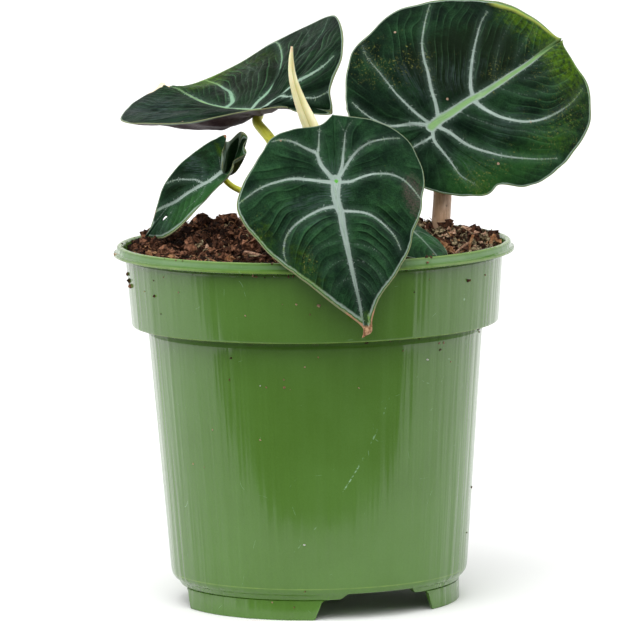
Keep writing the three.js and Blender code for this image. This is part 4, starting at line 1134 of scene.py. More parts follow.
def leaf_under(look):
    """Purplish grey with green ribs, for the underside of the blades."""
    made, tree, shader = material("leaf_under", Roughness=0.5, Specular_IOR_Level=0.12)
    place = object_place(tree)
    veins = use(tree, "feathered_veins", edge=mark(tree, "edge"), along=mark(tree, "along"),
                spike=0.2, strong=mark(tree, "strong"))
    colour = mottle(tree, place, 0.16, look.under, (0.13, 0.1, 0.105))
    colour = blend(tree, scaled(tree, mark(tree, "moss"), 0.2, 0.8), colour, (0.012, 0.034, 0.013))
    colour = blend(tree, times(tree, veins["Mask"], 0.6), colour, (0.2, 0.26, 0.16))
    grain = use(tree, "specks", place=place, scale=2.2, size=0.3, amount=0.5)
    colour = blend(tree, times(tree, grain["Mask"], 0.15), colour, (0.2, 0.16, 0.17))
    colour = blend(tree, scaled(tree, mark(tree, "rim"), 1.3, 0.7), colour, look.margin)
    colour = blend(tree, scaled(tree, mark(tree, "tan"), 0.4, 0.9), colour, (0.3, 0.17, 0.1))
    feed(tree, shader.inputs["Base Color"], colour)
    relieved(tree, shader, noisy(tree, place, 1.2, 5.0, 0.65), 0.4, 0.7)
    return made


def stalk_skin(name, low, high, streak, shaded_side, rough):
    """Smooth skin with long fine streaks, painted shade down one side, and a few spots."""
    made, tree, shader = material(name, Roughness=rough, Specular_IOR_Level=0.4)
    place = object_place(tree)
    turn = times(tree, mark(tree, "round"), 2 * math.pi)
    ring = vector(tree, sum_of(tree, "COSINE", turn), sum_of(tree, "SINE", turn),
                  times(tree, mark(tree, "along"), 0.25))
    fibres = noisy(tree, ring, 7.0, 4.0, 0.65)
    streaked = scaled(tree, fibres, 0.4, 0.68, 0.0, 0.75)
    colour = blend(tree, streaked, mottle(tree, place, 0.2, low, high), streak)
    # painted shade: one side of the stalk is darkened, as if the light fell from the other side
    painted_shade_side = scaled(tree, sum_of(tree, "COSINE", turn), -0.3, 0.8, 0.0, shaded_side, "SMOOTHSTEP")
    colour = blend(tree, painted_shade_side, colour, (0.2, 0.11, 0.06))
    spots = use(tree, "specks", place=place, scale=0.8, size=0.2, amount=0.25)
    colour = blend(tree, times(tree, spots["Mask"], 0.45), colour, (0.1, 0.05, 0.03))
    feed(tree, shader.inputs["Base Color"], colour)
    relieved(tree, shader, fibres, 0.25, 0.6)
    return made


def rolled_skin(look):
    """Cream that turns green low down at the seam, with fine lengthwise ribs and a tan tip."""
    made, tree, shader = material("rolled_leaf_skin", Roughness=0.42, Subsurface_Weight=0.15,
                                  Subsurface_Scale=0.002)
    place = object_place(tree)
    along, turn = mark(tree, "along"), mark(tree, "round")
    wound = sum_of(tree, "MULTIPLY_ADD", along, SEAM[0] / (len(ROLLED_LEAF[0]) - 1), SEAM[1])
    seam = sum_of(tree, "FRACT", plus(tree, turn, wound))
    low_left = times(tree, scaled(tree, along, 5.6, 3.4), scaled(tree, seam, 0.35, 0.05))
    colour = mottle(tree, place, 0.2, (0.8, 0.75, 0.4), look.rolled)
    colour = blend(tree, low_left, colour, (0.5, 0.5, 0.1))
    colour = blend(tree, scaled(tree, seam, 0.86, 1.0, 0.0, 0.75), colour, (0.42, 0.4, 0.1))
    fine = noisy(tree, vector(tree, times(tree, turn, 30.0), along, 0), 1.0, 2.0)
    colour = blend(tree, scaled(tree, fine, 0.5, 0.7, 0.0, 0.4), colour, (0.62, 0.56, 0.26))
    colour = blend(tree, scaled(tree, along, 8.5, 9.0), colour, (0.66, 0.55, 0.36))
    feed(tree, shader.inputs["Base Color"], colour)
    lengthwise = vector(tree, times(tree, turn, 9.0), times(tree, along, 0.3), 0)
    relieved(tree, shader, noisy(tree, lengthwise, 2.0, 3.0), 0.25, 0.5)
    return made


def painted_edge_highlights(tree, place, height, radius, colour):
    """Painted highlights: paler, yellower lines along the moulding's edges, and a paler, bluer band
    painted on the lip's face between them.
    """

    def band(level, width, least):
        """A line round the pot at a level, where the radius is no less than so much."""
        near = scaled(tree, apart(tree, height, level), width, width * 0.4)
        return times(tree, near, scaled(tree, radius, least, least + 0.15))

    colour = blend(tree, times(tree, band(*PAINTED_LIP_HIGHLIGHT), 0.5), colour, (0.16, 0.3, 0.13))
    edges = band(*PAINTED_EDGE_HIGHLIGHTS[0])
    for line in PAINTED_EDGE_HIGHLIGHTS[1:]:
        edges = sum_of(tree, "MAXIMUM", edges, band(*line))
    # the painted highlights are broken up by noise
    broken_highlight = scaled(tree, noisy(tree, place, 0.25, 2.0), 0.3, 0.7, 0.3, 0.8)
    return blend(tree, times(tree, edges, broken_highlight, 0.6), colour, (0.24, 0.36, 0.07))


def scratches(tree, place, parts, colour):
    """Thin broken arcs, and one long dotted scratch that bows down the front."""
    arcs = sum_of(tree, "ABSOLUTE", centred(tree, noisy(tree, place, 0.045, 1.0)))
    broken = scaled(tree, noisy(tree, place, 0.35, 2.0), 0.6, 0.66)
    thin = times(tree, scaled(tree, arcs, 0.0013, 0.0004), broken, 0.4)
    low, high = LONG_SCRATCH["heights"]
    start, slant, bow = LONG_SCRATCH["line"]
    sweep = scaled(tree, parts[2], low, high, 0, 1)
    bowed = times(tree, sweep, plus(tree, times(tree, sweep, bow), slant))
    off = apart(tree, parts[0], plus(tree, bowed, start))
    in_front = sum_of(tree, "LESS_THAN", parts[1], 0.0)
    inside = times(tree, scaled(tree, parts[2], low - 0.5, low + 1.5),
                   scaled(tree, parts[2], high, high - 1.5), in_front)
    dotted = times(tree, scaled(tree, noisy(tree, place, 0.9, 3.0, 0.7), 0.5, 0.6),
                   scaled(tree, noisy(tree, place, 0.16, 1.0), 0.45, 0.55))
    long = times(tree, scaled(tree, off, 0.3, 0.08), dotted, inside, 0.6)
    return blend(tree, sum_of(tree, "MAXIMUM", thin, long), colour, (0.4, 0.62, 0.42))


def pot_plastic(look, name, specular):
    """Green plastic with drawn streaks, painted highlights along its moulded edges, scratches, and
    painted shade and dust under its overhangs.
    """
    made, tree, shader = material(name, Roughness=0.2, Specular_IOR_Level=specular)
    place = object_place(tree)
    # round the wall: the direction from the axis, so that streaks run up and down
    parts = put(tree, "ShaderNodeSeparateXYZ", place).outputs
    flat = vector(tree, parts[0], parts[1], 0)
    radius = put(tree, "ShaderNodeVectorMath", flat, operation="LENGTH").outputs["Value"]
    around = put(tree, "ShaderNodeVectorMath", flat, operation="NORMALIZE").outputs[0]
    rising = vector(tree, 0, 0, times(tree, parts[2], 0.0009))
    upright = put(tree, "ShaderNodeVectorMath", around, rising, operation="ADD").outputs[0]
    wide = noisy(tree, upright, 7.5, 1.0, 0.4)
    fine = noisy(tree, upright, 19.0, 2.0, 0.5)
    drawn = noisy(tree, upright, 11.0, 2.0, 0.6)
    colour = mottle(tree, place, 0.02, look.colour, look.light)
    colour = blend(tree, scaled(tree, fine, 0.45, 0.75, 0.0, 0.4), colour, look.light)
    grain = noisy(tree, place, 2.2, 3.0)
    colour = blend(tree, scaled(tree, grain, 0.3, 0.75, 0.0, 0.1), colour, (0.16, 0.28, 0.08))
    colour = painted_edge_highlights(tree, place, parts[2], radius, colour)
    colour = scratches(tree, place, parts, colour)
    # painted shade under the lip and under the collar, darker towards each overhang, and soil dust
    # there
    painted_overhang_shade = []
    for level, depth in OVERHANGS:
        below = sum_of(tree, "LESS_THAN", parts[2], level)
        close = scaled(tree, parts[2], level - depth, level, curve="SMOOTHSTEP")
        painted_overhang_shade.append(times(tree, below, close))
    painted_overhang_shade = sum_of(tree, "MAXIMUM", *painted_overhang_shade)
    # painted shade: dark green where the overhang's shadow falls
    colour = blend(tree, times(tree, painted_overhang_shade, 0.7), colour, (0.014, 0.035, 0.006))
    dust = times(tree, painted_overhang_shade, scaled(tree, noisy(tree, place, 0.5, 3.0), 0.5, 0.72))
    colour = blend(tree, times(tree, dust, 0.35), colour, (0.05, 0.04, 0.015))
    feed(tree, shader.inputs["Base Color"], colour)
    rough = plus(tree, scaled(tree, fine, 0.3, 0.7, 0.11, 0.2), times(tree, dust, 0.4))
    feed(tree, shader.inputs["Roughness"], rough)
    relief = plus(tree, times(tree, fine, 0.25), times(tree, drawn, 0.75))
    relief = plus(tree, times(tree, wide, 0.8), relief)
    relieved(tree, shader, plus(tree, relief, times(tree, grain, 0.01)), 0.5, 1.0)
    return made


def soil_earth(name, low, high, scale, bump):
    """Matt crumbly earth, mottled and finely speckled."""
    made, tree, shader = material(name, Roughness=0.95, Specular_IOR_Level=0.2)
    place = object_place(tree)
    fine = use(tree, "specks", place=place, scale=1.6, size=0.4, amount=0.3)
    tints = blend(tree, fine["Shade"], (0.02, 0.01, 0.006), (0.2, 0.11, 0.06))
    colour = mottle(tree, place, scale, low, high)
    colour = blend(tree, times(tree, fine["Mask"], 0.5), colour, tints)
    feed(tree, shader.inputs["Base Color"], colour)
    relieved(tree, shader, noisy(tree, place, 1.4, 5.0, 0.7), bump, 1.0)
    return made


# Settings


def colour_setting(name, description, default):
    """A colour in the panel."""
    return FloatVectorProperty(name=name, description=description, default=default, size=3, min=0,
                               max=1, subtype="COLOR")


class AlocasiaLeafSettings(bpy.types.PropertyGroup):
    """Colours of the blades and the rolled leaf"""

    dark: colour_setting("Dark green", "Velvet of the upper side, where it is darker",
                         (0.0048, 0.0148, 0.008))
    light: colour_setting("Light green", "Velvet of the upper side, where it is paler",
                          (0.013, 0.043, 0.017))
    ripe: colour_setting("Ageing green", "Where an old blade turns yellow-green", (0.06, 0.13, 0.0015))
    # painted sheen: a silver grey laid on the velvet where the blades catch the light
    painted_sheen: colour_setting("Bloom", "Silver grey sheen in the velvet", (0.05, 0.075, 0.075))
    mint: colour_setting("Fresh vein", "Veins where a blade is lit through", (0.2, 0.42, 0.24))
    vein: colour_setting("Vein", "Silvery veins of the upper side", (0.36, 0.44, 0.4))
    core: colour_setting("Midrib", "Green middle of a strong midrib", (0.24, 0.42, 0.16))
    margin: colour_setting("Margin", "Pale line inside the edge of a blade", (0.26, 0.34, 0.28))
    lip: colour_setting("Lip", "Drier edge of a blade", (0.22, 0.25, 0.13))
    under: colour_setting("Underside", "Purplish underside of a blade", (0.055, 0.034, 0.04))
    rolled: colour_setting("Rolled leaf", "Cream outside of the leaf still rolled up",
                           (0.92, 0.88, 0.56))


class AlocasiaPotSettings(bpy.types.PropertyGroup):
    """Colours and fineness of the pot"""

    colour: colour_setting("Plastic", "Green of the pot", (0.056, 0.14, 0.011))
    light: colour_setting("Pale plastic", "Where the plastic looks paler", (0.07, 0.166, 0.021))
    facets: IntProperty(name="Facets", description="Steps round the pot", default=224, min=56, max=448)


class AlocasiaSoilSettings(bpy.types.PropertyGroup):
    """Colours of the soil and how much lies on it"""

    dark: colour_setting("Dark crumbs", "Moist peat", (0.008, 0.004, 0.0025))
    light: colour_setting("Light crumbs", "Dry fibre", (0.32, 0.15, 0.085))
    crumbs: IntProperty(name="Crumbs", description="Loose crumbs on the soil", default=7000, min=0,
                        max=8000)
    fibres: IntProperty(name="Fibres", description="Loose fibres on the soil", default=560, min=0,
                        max=900)
    roughness: FloatProperty(name="Unevenness", description="Height of the lumps", default=1.5 * MM,
                             min=0, max=0.005, unit="LENGTH", subtype="DISTANCE")


class AlocasiaStageSettings(bpy.types.PropertyGroup):
    """The studio's floor, light and camera"""

    floor: colour_setting("Floor", "Colour of the studio floor", (0.9, 0.9, 0.9))
    light: FloatProperty(name="Soft boxes", description="Power of the soft boxes", default=1.5, min=0,
                         unit="POWER", subtype="POWER")
    even: FloatProperty(name="Even light", description="Strength of the even light from above",
                        default=2.7, min=0)
    apron: FloatProperty(name="Floor in front", default=0.125, min=0.05, unit="LENGTH",
                         description="How far the floor reaches in front of the pot's axis",
                         subtype="DISTANCE")
    front: FloatProperty(name="Front fill", description="Brightness of the room behind the camera",
                         default=0.28, min=0)
    back: FloatProperty(name="Back fill", description="Brightness of the room at the sides and behind",
                        default=1.0, min=0)
    distance: FloatProperty(name="Camera distance", description="From the camera to the pot's axis",
                            default=2.0, min=0.5, unit="LENGTH", subtype="DISTANCE")


# Operators


class ALOCASIA_OT_leaves(bpy.types.Operator):
    """Makes the five open blades with their veins"""

    bl_idname = "alocasia.leaves"
    bl_label = "Leaf blades"

    def execute(self, context):
        look = context.scene.alocasia_leaf
        skins = [leaf_upper(look), leaf_under(look)]
        for name, (leaf, rows_fine, shares_fine) in BLADES.items():
            blade(name, leaf, rows_fine, shares_fine, skins)
        return {"FINISHED"}


class ALOCASIA_OT_stalks(bpy.types.Operator):
    """Makes the stalks and the leaf that is still rolled up"""

    bl_idname = "alocasia.stalks"
    bl_label = "Stalks and rolled leaf"

    def execute(self, context):
        green = stalk_skin("green_stalk", (0.72, 0.74, 0.04), (0.86, 0.86, 0.14),
                           (0.55, 0.6, 0.04), shaded_side=0, rough=0.4)
        tan = stalk_skin("tan_stalk", (0.66, 0.43, 0.27), (0.9, 0.68, 0.5),
                         (0.42, 0.24, 0.14), shaded_side=0.65, rough=0.5)
        for name, (path, radii) in STALKS.items():
            bm = bmesh.new()
            rod(bm, path, radii, 28, 9)
            is_tan = name == "right_stalk"
            piece = finished(name + "_skin", bm, [tan if is_tan else green], name)
        bm = bmesh.new()

        def rolled(share, turn):
            # one edge of the blade lies over the rest, and the step winds round towards the tip
            step = (turn + SEAM[0] * share + SEAM[1]) % 1
            return 0.9 + 0.1 * step**2

        rod(bm, *ROLLED_LEAF, 64, 12, rolled)
        skin = rolled_skin(context.scene.alocasia_leaf)
        piece = finished("leaf_still_rolled", bm, [skin], "rolled_leaf")
        return {"FINISHED"}


def gap_cutter():
    """A solid that takes the gaps out of the ring of feet."""
    half = GAPS["outline"]
    outline = half + [(-x, z) for x, z in reversed(half)]
    near, far = GAPS["span"]
    cutter = bmesh.new()
    for i in range(GAPS["count"]):
        corners = [cutter.verts.new((x * MM, -near * MM, z * MM)) for x, z in outline]
        face = cutter.faces.new(corners)
        depth = bmesh.ops.extrude_face_region(cutter, geom=[face])["geom"]
        pushed = [item for item in depth if isinstance(item, bmesh.types.BMVert)]
        bmesh.ops.translate(cutter, verts=pushed, vec=(0, (near - far) * MM, 0))
        turn = Matrix.Rotation(math.radians(GAPS["first"] + 360 / GAPS["count"] * i), 4, "Z")
        bmesh.ops.transform(cutter, matrix=Matrix.Translation(AXIS) @ turn,
                            verts=corners + pushed)
    bmesh.ops.recalc_face_normals(cutter, faces=cutter.faces)
    mesh = bpy.data.meshes.new("gap_cutter")
    cutter.to_mesh(mesh)
    cutter.free()
    tool = bpy.data.objects.new("gap_cutter", mesh)
    bpy.context.scene.collection.objects.link(tool)
    return tool


class ALOCASIA_OT_pot(bpy.types.Operator):
    """Makes the nursery pot with the gaps between its feet"""

    bl_idname = "alocasia.pot"
    bl_label = "Nursery pot"

    def execute(self, context):
        look = context.scene.alocasia_pot
        outline = POT_UNDER + POT_OUTSIDE + POT_INSIDE
        bm = bmesh.new()
        verts = [bm.verts.new(here((radius, 0, z))) for radius, z in outline]
        edges = [bm.edges.new(pair) for pair in zip(verts, verts[1:])]
        bmesh.ops.spin(bm, geom=verts + edges, cent=AXIS, axis=(0, 0, 1), angle=2 * math.pi,
                       steps=look.facets, use_merge=True)
        bmesh.ops.remove_doubles(bm, verts=bm.verts, dist=1e-6)
        bmesh.ops.recalc_face_normals(bm, faces=bm.faces)
        for face in bm.faces:
            middle = face.calc_center_median() - AXIS
            radius, height = middle.xy.length / MM, middle.z / MM
            face.material_index = int(any(radius > least and low < height < high
                                          for least, low, high in DULL_EDGES))
        skins = [pot_plastic(look, "pot_plastic", 0.56), pot_plastic(look, "pot_dull_edges", 0.06)]
        piece = finished("nursery_pot", bm, skins, "pot")
        tool = gap_cutter()
        cut = piece.modifiers.new("gaps", "BOOLEAN")
        cut.operation, cut.object, cut.solver = "DIFFERENCE", tool, "EXACT"
        with context.temp_override(object=piece, active_object=piece, selected_objects=[piece]):
            bpy.ops.object.modifier_apply(modifier=cut.name)
        bpy.data.objects.remove(tool)
        piece.data.set_sharp_from_angle(angle=SHARP)
        return {"FINISHED"}


SEED = 11  # of every random draw
BATCH = 40  # crumbs made at a time, because a large bmesh is slow
STRAYS = 90  # crumbs on the lip and round the back of the wall


def soil_height(x, y):
    """The soil's surface without its crumbly lumps."""
    height = SOIL["edge"] + SOIL["dome"] * (1 - (x * x + y * y) / SOIL["radius"] ** 2)
    for at_x, at_y, spread_x, spread_y, rise in SOIL["heaps"]:
        height += rise * math.exp(-(((x - at_x) / spread_x) ** 2 + ((y - at_y) / spread_y) ** 2) / 2)
    height += SOIL["lump"] * sum(math.sin(a * x + b * y + c) for a, b, c in SOIL["waves"])
    return max(height, SOIL["lowest"])


def wall_radius(z):
    """The radius of the inside of the wall."""
    heights = [height for _, height in reversed(POT_INSIDE)]
    return float(np.interp(z, heights, [radius for radius, _ in reversed(POT_INSIDE)]))


def outer_radius(z):
    """The radius of the outside of the wall, below the lip."""
    wall = [point for point in POT_OUTSIDE if point[1] < 103]
    return float(np.interp(z, [height for _, height in wall], [radius for radius, _ in wall]))


def pit(x, y):
    """How deep in a hollow between the lumps a place is."""
    return max(0, noise.noise((x * 0.19, y * 0.19, 5)) - 0.1)


def surface(x, y, rough):
    """The height of the crumbly surface, with lumps of so many millimetres."""
    place = Vector((x, y, 0))
    lumps = noise.fractal(place * 0.33, 0.9, 2.1, 5)
    near_wall = min(1, max(0, (56 - math.hypot(x, y)) / 3))
    hollow = 5 * near_wall * pit(x, y)
    uneven = rough * (lumps * 0.9 - 0.35) * (0.4 + 0.6 * near_wall)
    return soil_height(x, y) + uneven - hollow


def soil_ground(rough):
    """The crumbly surface, with straight sides down to the pot's floor."""
    bm = bmesh.new()
    bmesh.ops.create_grid(bm, x_segments=SOIL["grid"], y_segments=SOIL["grid"], size=1)
    top_gap, side_gap = SOIL["gaps"]
    for vert in bm.verts:
        x, y = vert.co.x, vert.co.y
        x, y = x * math.sqrt(1 - y * y / 2), y * math.sqrt(1 - x * x / 2)
        z = surface(x * SOIL["reach"], y * SOIL["reach"], rough)
        reach = wall_radius(z) - top_gap
        vert.co = Vector(here((x * reach, y * reach, z)))
    side = [edge for edge in bm.edges if edge.is_boundary]
    for z in SOIL["side"]:
        drop = bmesh.ops.extrude_edge_only(bm, edges=side)["geom"]
        for item in drop:
            if isinstance(item, bmesh.types.BMVert):
                out = Vector((item.co.x - AXIS.x, item.co.y - AXIS.y)).normalized()
                reach = wall_radius(z) - side_gap
                item.co = Vector(here((out.x * reach, out.y * reach, z)))
        side = [item for item in drop
                if isinstance(item, bmesh.types.BMEdge) and item.is_boundary]
    bmesh.ops.holes_fill(bm, edges=side, sides=0)
    bmesh.ops.recalc_face_normals(bm, faces=bm.faces)
    return bm


def add_rod(bm, path, radii, sides, steps, kind):
    """Adds a rod of one kind."""
    known = set(bm.faces)
    rod(bm, path, radii, sides, steps)
    for face in set(bm.faces) - known:
        face.material_index = kind


class Strewing:
    """Strews crumbs and fibres, the same ones in each run."""

    def __init__(self, look):
        self.rough = look.roughness / MM
        self.draw = random.Random(SEED)
        self.kinds = [
            soil_earth("dark_crumbs", (0.012, 0.006, 0.004), (0.11, 0.046, 0.026), 0.8, 0.6),
            soil_earth("brown_crumbs", (0.05, 0.02, 0.012), look.light, 0.8, 0.6),
            soil_earth("ochre_chips", (0.18, 0.07, 0.03), (0.42, 0.24, 0.12), 0.7, 0.4),
            soil_earth("olive_fibres", (0.02, 0.016, 0.007), (0.4, 0.32, 0.19), 0.9, 0.4),
            soil_earth("tan_crumbs", (0.2, 0.1, 0.06), (0.55, 0.36, 0.25), 0.9, 0.3),
            soil_earth("white_grit", (0.5, 0.5, 0.46), (0.75, 0.74, 0.68), 0.7, 0.2),
        ]

    def add_crumb(self, bm, place, size, flat, kind, ragged=0.36):
        """A jittered little lump, pressed flat by so much."""
        spin = Matrix.Rotation(self.draw.uniform(0, 6.28), 4, "Z")
        spin = spin @ Matrix.Rotation(self.draw.gauss(0, 0.7), 4, "X")
        shape = Matrix.Diagonal((1, self.draw.uniform(0.45, 1), flat, 1))
        matrix = Matrix.Translation(Vector(here(place))) @ spin @ shape
        verts = bmesh.ops.create_icosphere(bm, subdivisions=2 if size > 1.2 else 1,
                                           radius=size * MM, matrix=matrix)["verts"]
        for vert in verts:
            vert.co += Vector([self.draw.gauss(0, ragged * size * MM) for _ in range(3)])
        for face in {face for vert in verts for face in vert.link_faces}:
            face.material_index = kind

    def gathered(self, name, count, add, smooth=False):
        """Makes many small things, a few at a time, into one piece."""
        bm = bmesh.new()
        for first in range(0, count, BATCH):
            part = bmesh.new()
            for number in range(first, min(first + BATCH, count)):
                add(part, number)
            mesh = bpy.data.meshes.new("batch")
            part.to_mesh(mesh)
            part.free()
            bm.from_mesh(mesh)
            bpy.data.meshes.remove(mesh)
        finished(name, bm, self.kinds, smooth=smooth)

    def loose_crumb(self, bm, number):
        """Adds a crumb on the surface, with more of them and more chips at the right."""
        away, turn = 55.2 * math.sqrt(self.draw.random()), self.draw.uniform(0, 2 * math.pi)
        if number % 5 == 0:
            away, turn = self.draw.uniform(30, 55), self.draw.gauss(-0.1, 0.5)
        x, y = away * math.cos(turn), away * math.sin(turn)
        if pit(x, y) > 0.08 and self.draw.random() < 0.8:
            return
        size = min(1.8, 0.42 * math.exp(self.draw.gauss(0, 0.5)) + 0.16)
        right = x > 28
        chip = self.draw.random() < (0.09 if away > 46 or right else 0.015)
        if chip:
            size *= 1.2
        z = surface(x, y, self.rough) + size * self.draw.uniform(-0.1, 1.1)
        limit = wall_radius(z) - size - 0.1
        if away > limit:
            x, y = x * limit / away, y * limit / away
        luck = self.draw.random()
        if luck > (0.9 if right else 0.985):
            kind = TAN
        elif chip:
            kind = OCHRE
        elif luck < (0.6 if right else 0.04):
            kind = OLIVE
        else:
            kind = BROWN if luck < 0.5 else DARK
        flat = self.draw.uniform(0.25, 0.5) if chip else self.draw.uniform(0.5, 1)
        self.add_crumb(bm, (x, y, z), size, flat, kind)

    def stuck_crumb(self, bm, number):
        """Adds one of the crumbs that the table puts on the pot."""
        turn, z, size, kind = CRUMBS_ON_POT[number]
        away = outer_radius(z) if z < 104.5 else 59.4 if z < 107 else 58.2
        turn = math.radians(turn)
        place = (away * math.cos(turn), away * math.sin(turn), min(z, 108))
        self.add_crumb(bm, place, 1.25 * size, self.draw.uniform(0.7, 1), kind, 0.22)

    def stray_crumb(self, bm, number):
        """Adds a crumb somewhere on the lip, or round the back of the wall."""
        turn = self.draw.uniform(0, 2 * math.pi)
        if number % 3:
            away, z = self.draw.choice(((58.7, 107.7), (57.1, 104.3), (57.6, 107.9)))
        else:
            turn, z = math.pi * self.draw.random(), 101 - 60 * self.draw.random() ** 2
            away = outer_radius(z)
        size = 0.12 + 0.25 * self.draw.random() ** 3
        place = (away * math.cos(turn), away * math.sin(turn), z)
        flat, kind = self.draw.uniform(0.4, 1), self.draw.choice((DARK, DARK, BROWN, OLIVE))
        self.add_crumb(bm, place, size, flat, kind)

    def fibre(self, bm, number):
        """Adds one of the sticks, or else a fibre that lies bent on the surface."""
        if number < len(STICKS):
            path, radius, kind = STICKS[number]
            add_rod(bm, path, [radius * 0.8, radius, radius], 7, 4, kind)
            return
        away, turn = 51 * math.sqrt(self.draw.random()), self.draw.uniform(0, 2 * math.pi)
        x, y = away * math.cos(turn), away * math.sin(turn)
        if number % 3 == 0:
            x, y = 30 + 0.42 * x, 0.8 * y
        heading, length = self.draw.uniform(0, 6.28), self.draw.uniform(1.5, 5.5)
        radius = self.draw.choice((0.07, 0.1, 0.14, 0.24))
        path = []
        for _ in range(4):
            x += math.cos(heading) * length / 3
            y += math.sin(heading) * length / 3
            heading += self.draw.gauss(0, 0.7)
            inwards = min(1, 53 / math.hypot(x, y))
            x, y = x * inwards, y * inwards
            path.append((x, y, surface(x, y, self.rough) + 0.3 + self.draw.uniform(0, 1.5)))
        kind = self.draw.choice((OLIVE, OLIVE, OLIVE, OCHRE, TAN) if x > 25
                                else (DARK, BROWN, BROWN, OLIVE, OCHRE))
        add_rod(bm, path, [radius * 0.6, radius, radius, radius * 0.4], 4, 2, kind)


class ALOCASIA_OT_soil(bpy.types.Operator):
    """Makes the soil, with its crumbs, chips and fibres"""

    bl_idname = "alocasia.soil"
    bl_label = "Soil"

    def execute(self, context):
        look = context.scene.alocasia_soil
        earth = soil_earth("peat", look.dark, (0.03, 0.013, 0.008), 0.5, 1.2)
        ground = finished("potting_soil", soil_ground(look.roughness / MM), [earth], "soil")
        strewing = Strewing(look)
        strewing.gathered("soil_crumbs", look.crumbs, strewing.loose_crumb)
        strewing.gathered("soil_on_pot", len(CRUMBS_ON_POT), strewing.stuck_crumb)
        strewing.gathered("soil_on_lip", STRAYS, strewing.stray_crumb)
        strewing.gathered("soil_fibres", look.fibres, strewing.fibre, smooth=True)
        return {"FINISHED"}


def studio_floor(look):
    """A pale floor that goes on far behind the pot."""
    scene = bpy.context.scene
    made, tree, shader = material("studio_floor", Roughness=0.7, Specular_IOR_Level=0.1)
    place = put(tree, "ShaderNodeTexCoord").outputs["Object"]
    paper = noisy(tree, place, 300.0, 3.0)
    low = [value * 0.985 for value in look.floor]
    feed(tree, shader.inputs["Base Color"], blend(tree, paper, low, look.floor))
    bm = bmesh.new()
    half = 6  # metres
    bmesh.ops.create_grid(bm, x_segments=1, y_segments=1, size=half)
    bmesh.ops.translate(bm, verts=bm.verts, vec=(AXIS.x, AXIS.y + half - look.apron, 0))
    mesh = bpy.data.meshes.new("floor")
    bm.to_mesh(mesh)
    bm.free()
    mesh.materials.append(made)
    floor = bpy.data.objects.new("floor", mesh)
    scene.collection.objects.link(floor)


def studio_room(look):
    """Light from all round, bright at the sides and behind, and dim behind the camera."""
    scene = bpy.context.scene
    world = bpy.data.worlds.new("studio")
    scene.world = world
    world.use_nodes = True
    tree = world.node_tree
    ray = put(tree, "ShaderNodeTexCoord").outputs["Generated"]
    toward = put(tree, "ShaderNodeSeparateXYZ", ray).outputs[1]
    fill = scaled(tree, toward, -0.45, -0.15, look.front, look.back, "SMOOTHSTEP")
    seen = put(tree, "ShaderNodeLightPath").outputs["Is Camera Ray"]
    back = tree.nodes["Background"]
    feed(tree, back.inputs["Color"], (1, 1, 1))
    feed(tree, back.inputs["Strength"], blend_value(tree, seen, fill, 0.92))


def studio_lights(look):
    """Soft boxes round the plant and an even light from above."""
    scene = bpy.context.scene
    boxes = [
        ("left_soft_box", (-0.85, -0.2, 0.42), (0.8, 1.0), 1.0),
        ("right_soft_box", (0.85, -0.25, 0.42), (0.8, 1.0), 1.0),
        ("top_soft_box", (-0.1, -0.25, 1.1), (0.8, 0.6), 0.7),
    ]
    aim = AXIS + Vector((0, 0, 0.1))
    for name, place, size, share in boxes:
        light = bpy.data.lights.new(name, "AREA")
        light.shape, light.size, light.size_y = "RECTANGLE", *size
        light.energy = look.light * share
        lamp = bpy.data.objects.new(name, light)
        lamp.location = AXIS + Vector(place)
        lamp.rotation_euler = (aim - lamp.location).to_track_quat("-Z", "Y").to_euler()
        scene.collection.objects.link(lamp)
    light = bpy.data.lights.new("even_light", "SUN")
    light.energy, light.angle = look.even, math.radians(60)
    lamp = bpy.data.objects.new("even_light", light)
    lamp.rotation_euler = (math.radians(38), math.radians(-10), 0)
    lamp.visible_glossy = False
    scene.collection.objects.link(lamp)


def studio_camera(look):
    """The photograph's view: a long lens above the plant, tipped down and rolled."""
    scene = bpy.context.scene
    lens, sensor, height, tip, roll = 384.1, 36.0, 0.32603, 0.1189, 0.0166
    camera = bpy.data.cameras.new("camera")
    camera.lens, camera.sensor_width = lens, sensor
    camera.clip_start, camera.clip_end = 0.1, 50
    eye = bpy.data.objects.new("camera", camera)
    eye.location = AXIS + Vector((0, -look.distance, height))
    turn = Matrix.Rotation(math.pi / 2 - tip, 4, "X") @ Matrix.Rotation(-roll, 4, "Z")
    eye.rotation_euler = turn.to_euler()
    scene.collection.objects.link(eye)
    scene.camera = eye


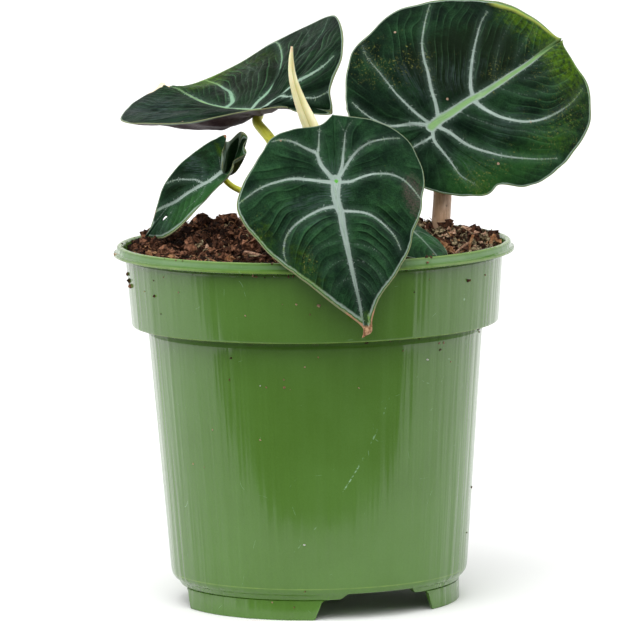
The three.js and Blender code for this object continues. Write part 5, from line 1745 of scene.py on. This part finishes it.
class ALOCASIA_OT_stage(bpy.types.Operator):
    """Makes the pale floor, the soft light and the camera"""

    bl_idname = "alocasia.stage"
    bl_label = "Studio"

    def execute(self, context):
        look = context.scene.alocasia_stage
        for make in (studio_floor, studio_room, studio_lights, studio_camera):
            make(look)
        context.scene.view_settings.view_transform = "Standard"
        return {"FINISHED"}


class ALOCASIA_PT_panel(bpy.types.Panel):
    """Lists the pieces and their settings"""

    bl_idname = "ALOCASIA_PT_panel"
    bl_label = "Potted alocasia"
    bl_space_type = "VIEW_3D"
    bl_region_type = "UI"
    bl_category = "Alocasia"

    def draw(self, context):
        for operator, settings in STEPS:
            box = self.layout.box()
            box.operator(operator.bl_idname)
            look = getattr(context.scene, settings)
            for name in look.__annotations__:
                box.prop(look, name)


STEPS = (
    (ALOCASIA_OT_stage, "alocasia_stage"),
    (ALOCASIA_OT_pot, "alocasia_pot"),
    (ALOCASIA_OT_soil, "alocasia_soil"),
    (ALOCASIA_OT_stalks, "alocasia_leaf"),
    (ALOCASIA_OT_leaves, "alocasia_leaf"),
)
SETTINGS = {
    "alocasia_leaf": AlocasiaLeafSettings,
    "alocasia_pot": AlocasiaPotSettings,
    "alocasia_soil": AlocasiaSoilSettings,
    "alocasia_stage": AlocasiaStageSettings,
}


def register():
    """Adds the classes and each scene's settings."""
    for cls in (*SETTINGS.values(), *(step for step, _ in STEPS), ALOCASIA_PT_panel):
        bpy.utils.register_class(cls)
    for name, cls in SETTINGS.items():
        setattr(bpy.types.Scene, name, PointerProperty(type=cls))


def unregister():
    """Takes them away again."""
    for name in SETTINGS:
        delattr(bpy.types.Scene, name)
    for cls in (ALOCASIA_PT_panel, *(step for step, _ in STEPS), *SETTINGS.values()):
        bpy.utils.unregister_class(cls)


def main():
    """Builds every piece."""
    register()
    bpy.ops.alocasia.stage()
    bpy.ops.alocasia.pot()
    bpy.ops.alocasia.soil()
    bpy.ops.alocasia.stalks()
    bpy.ops.alocasia.leaves()


if __name__ == "__main__":
    main()
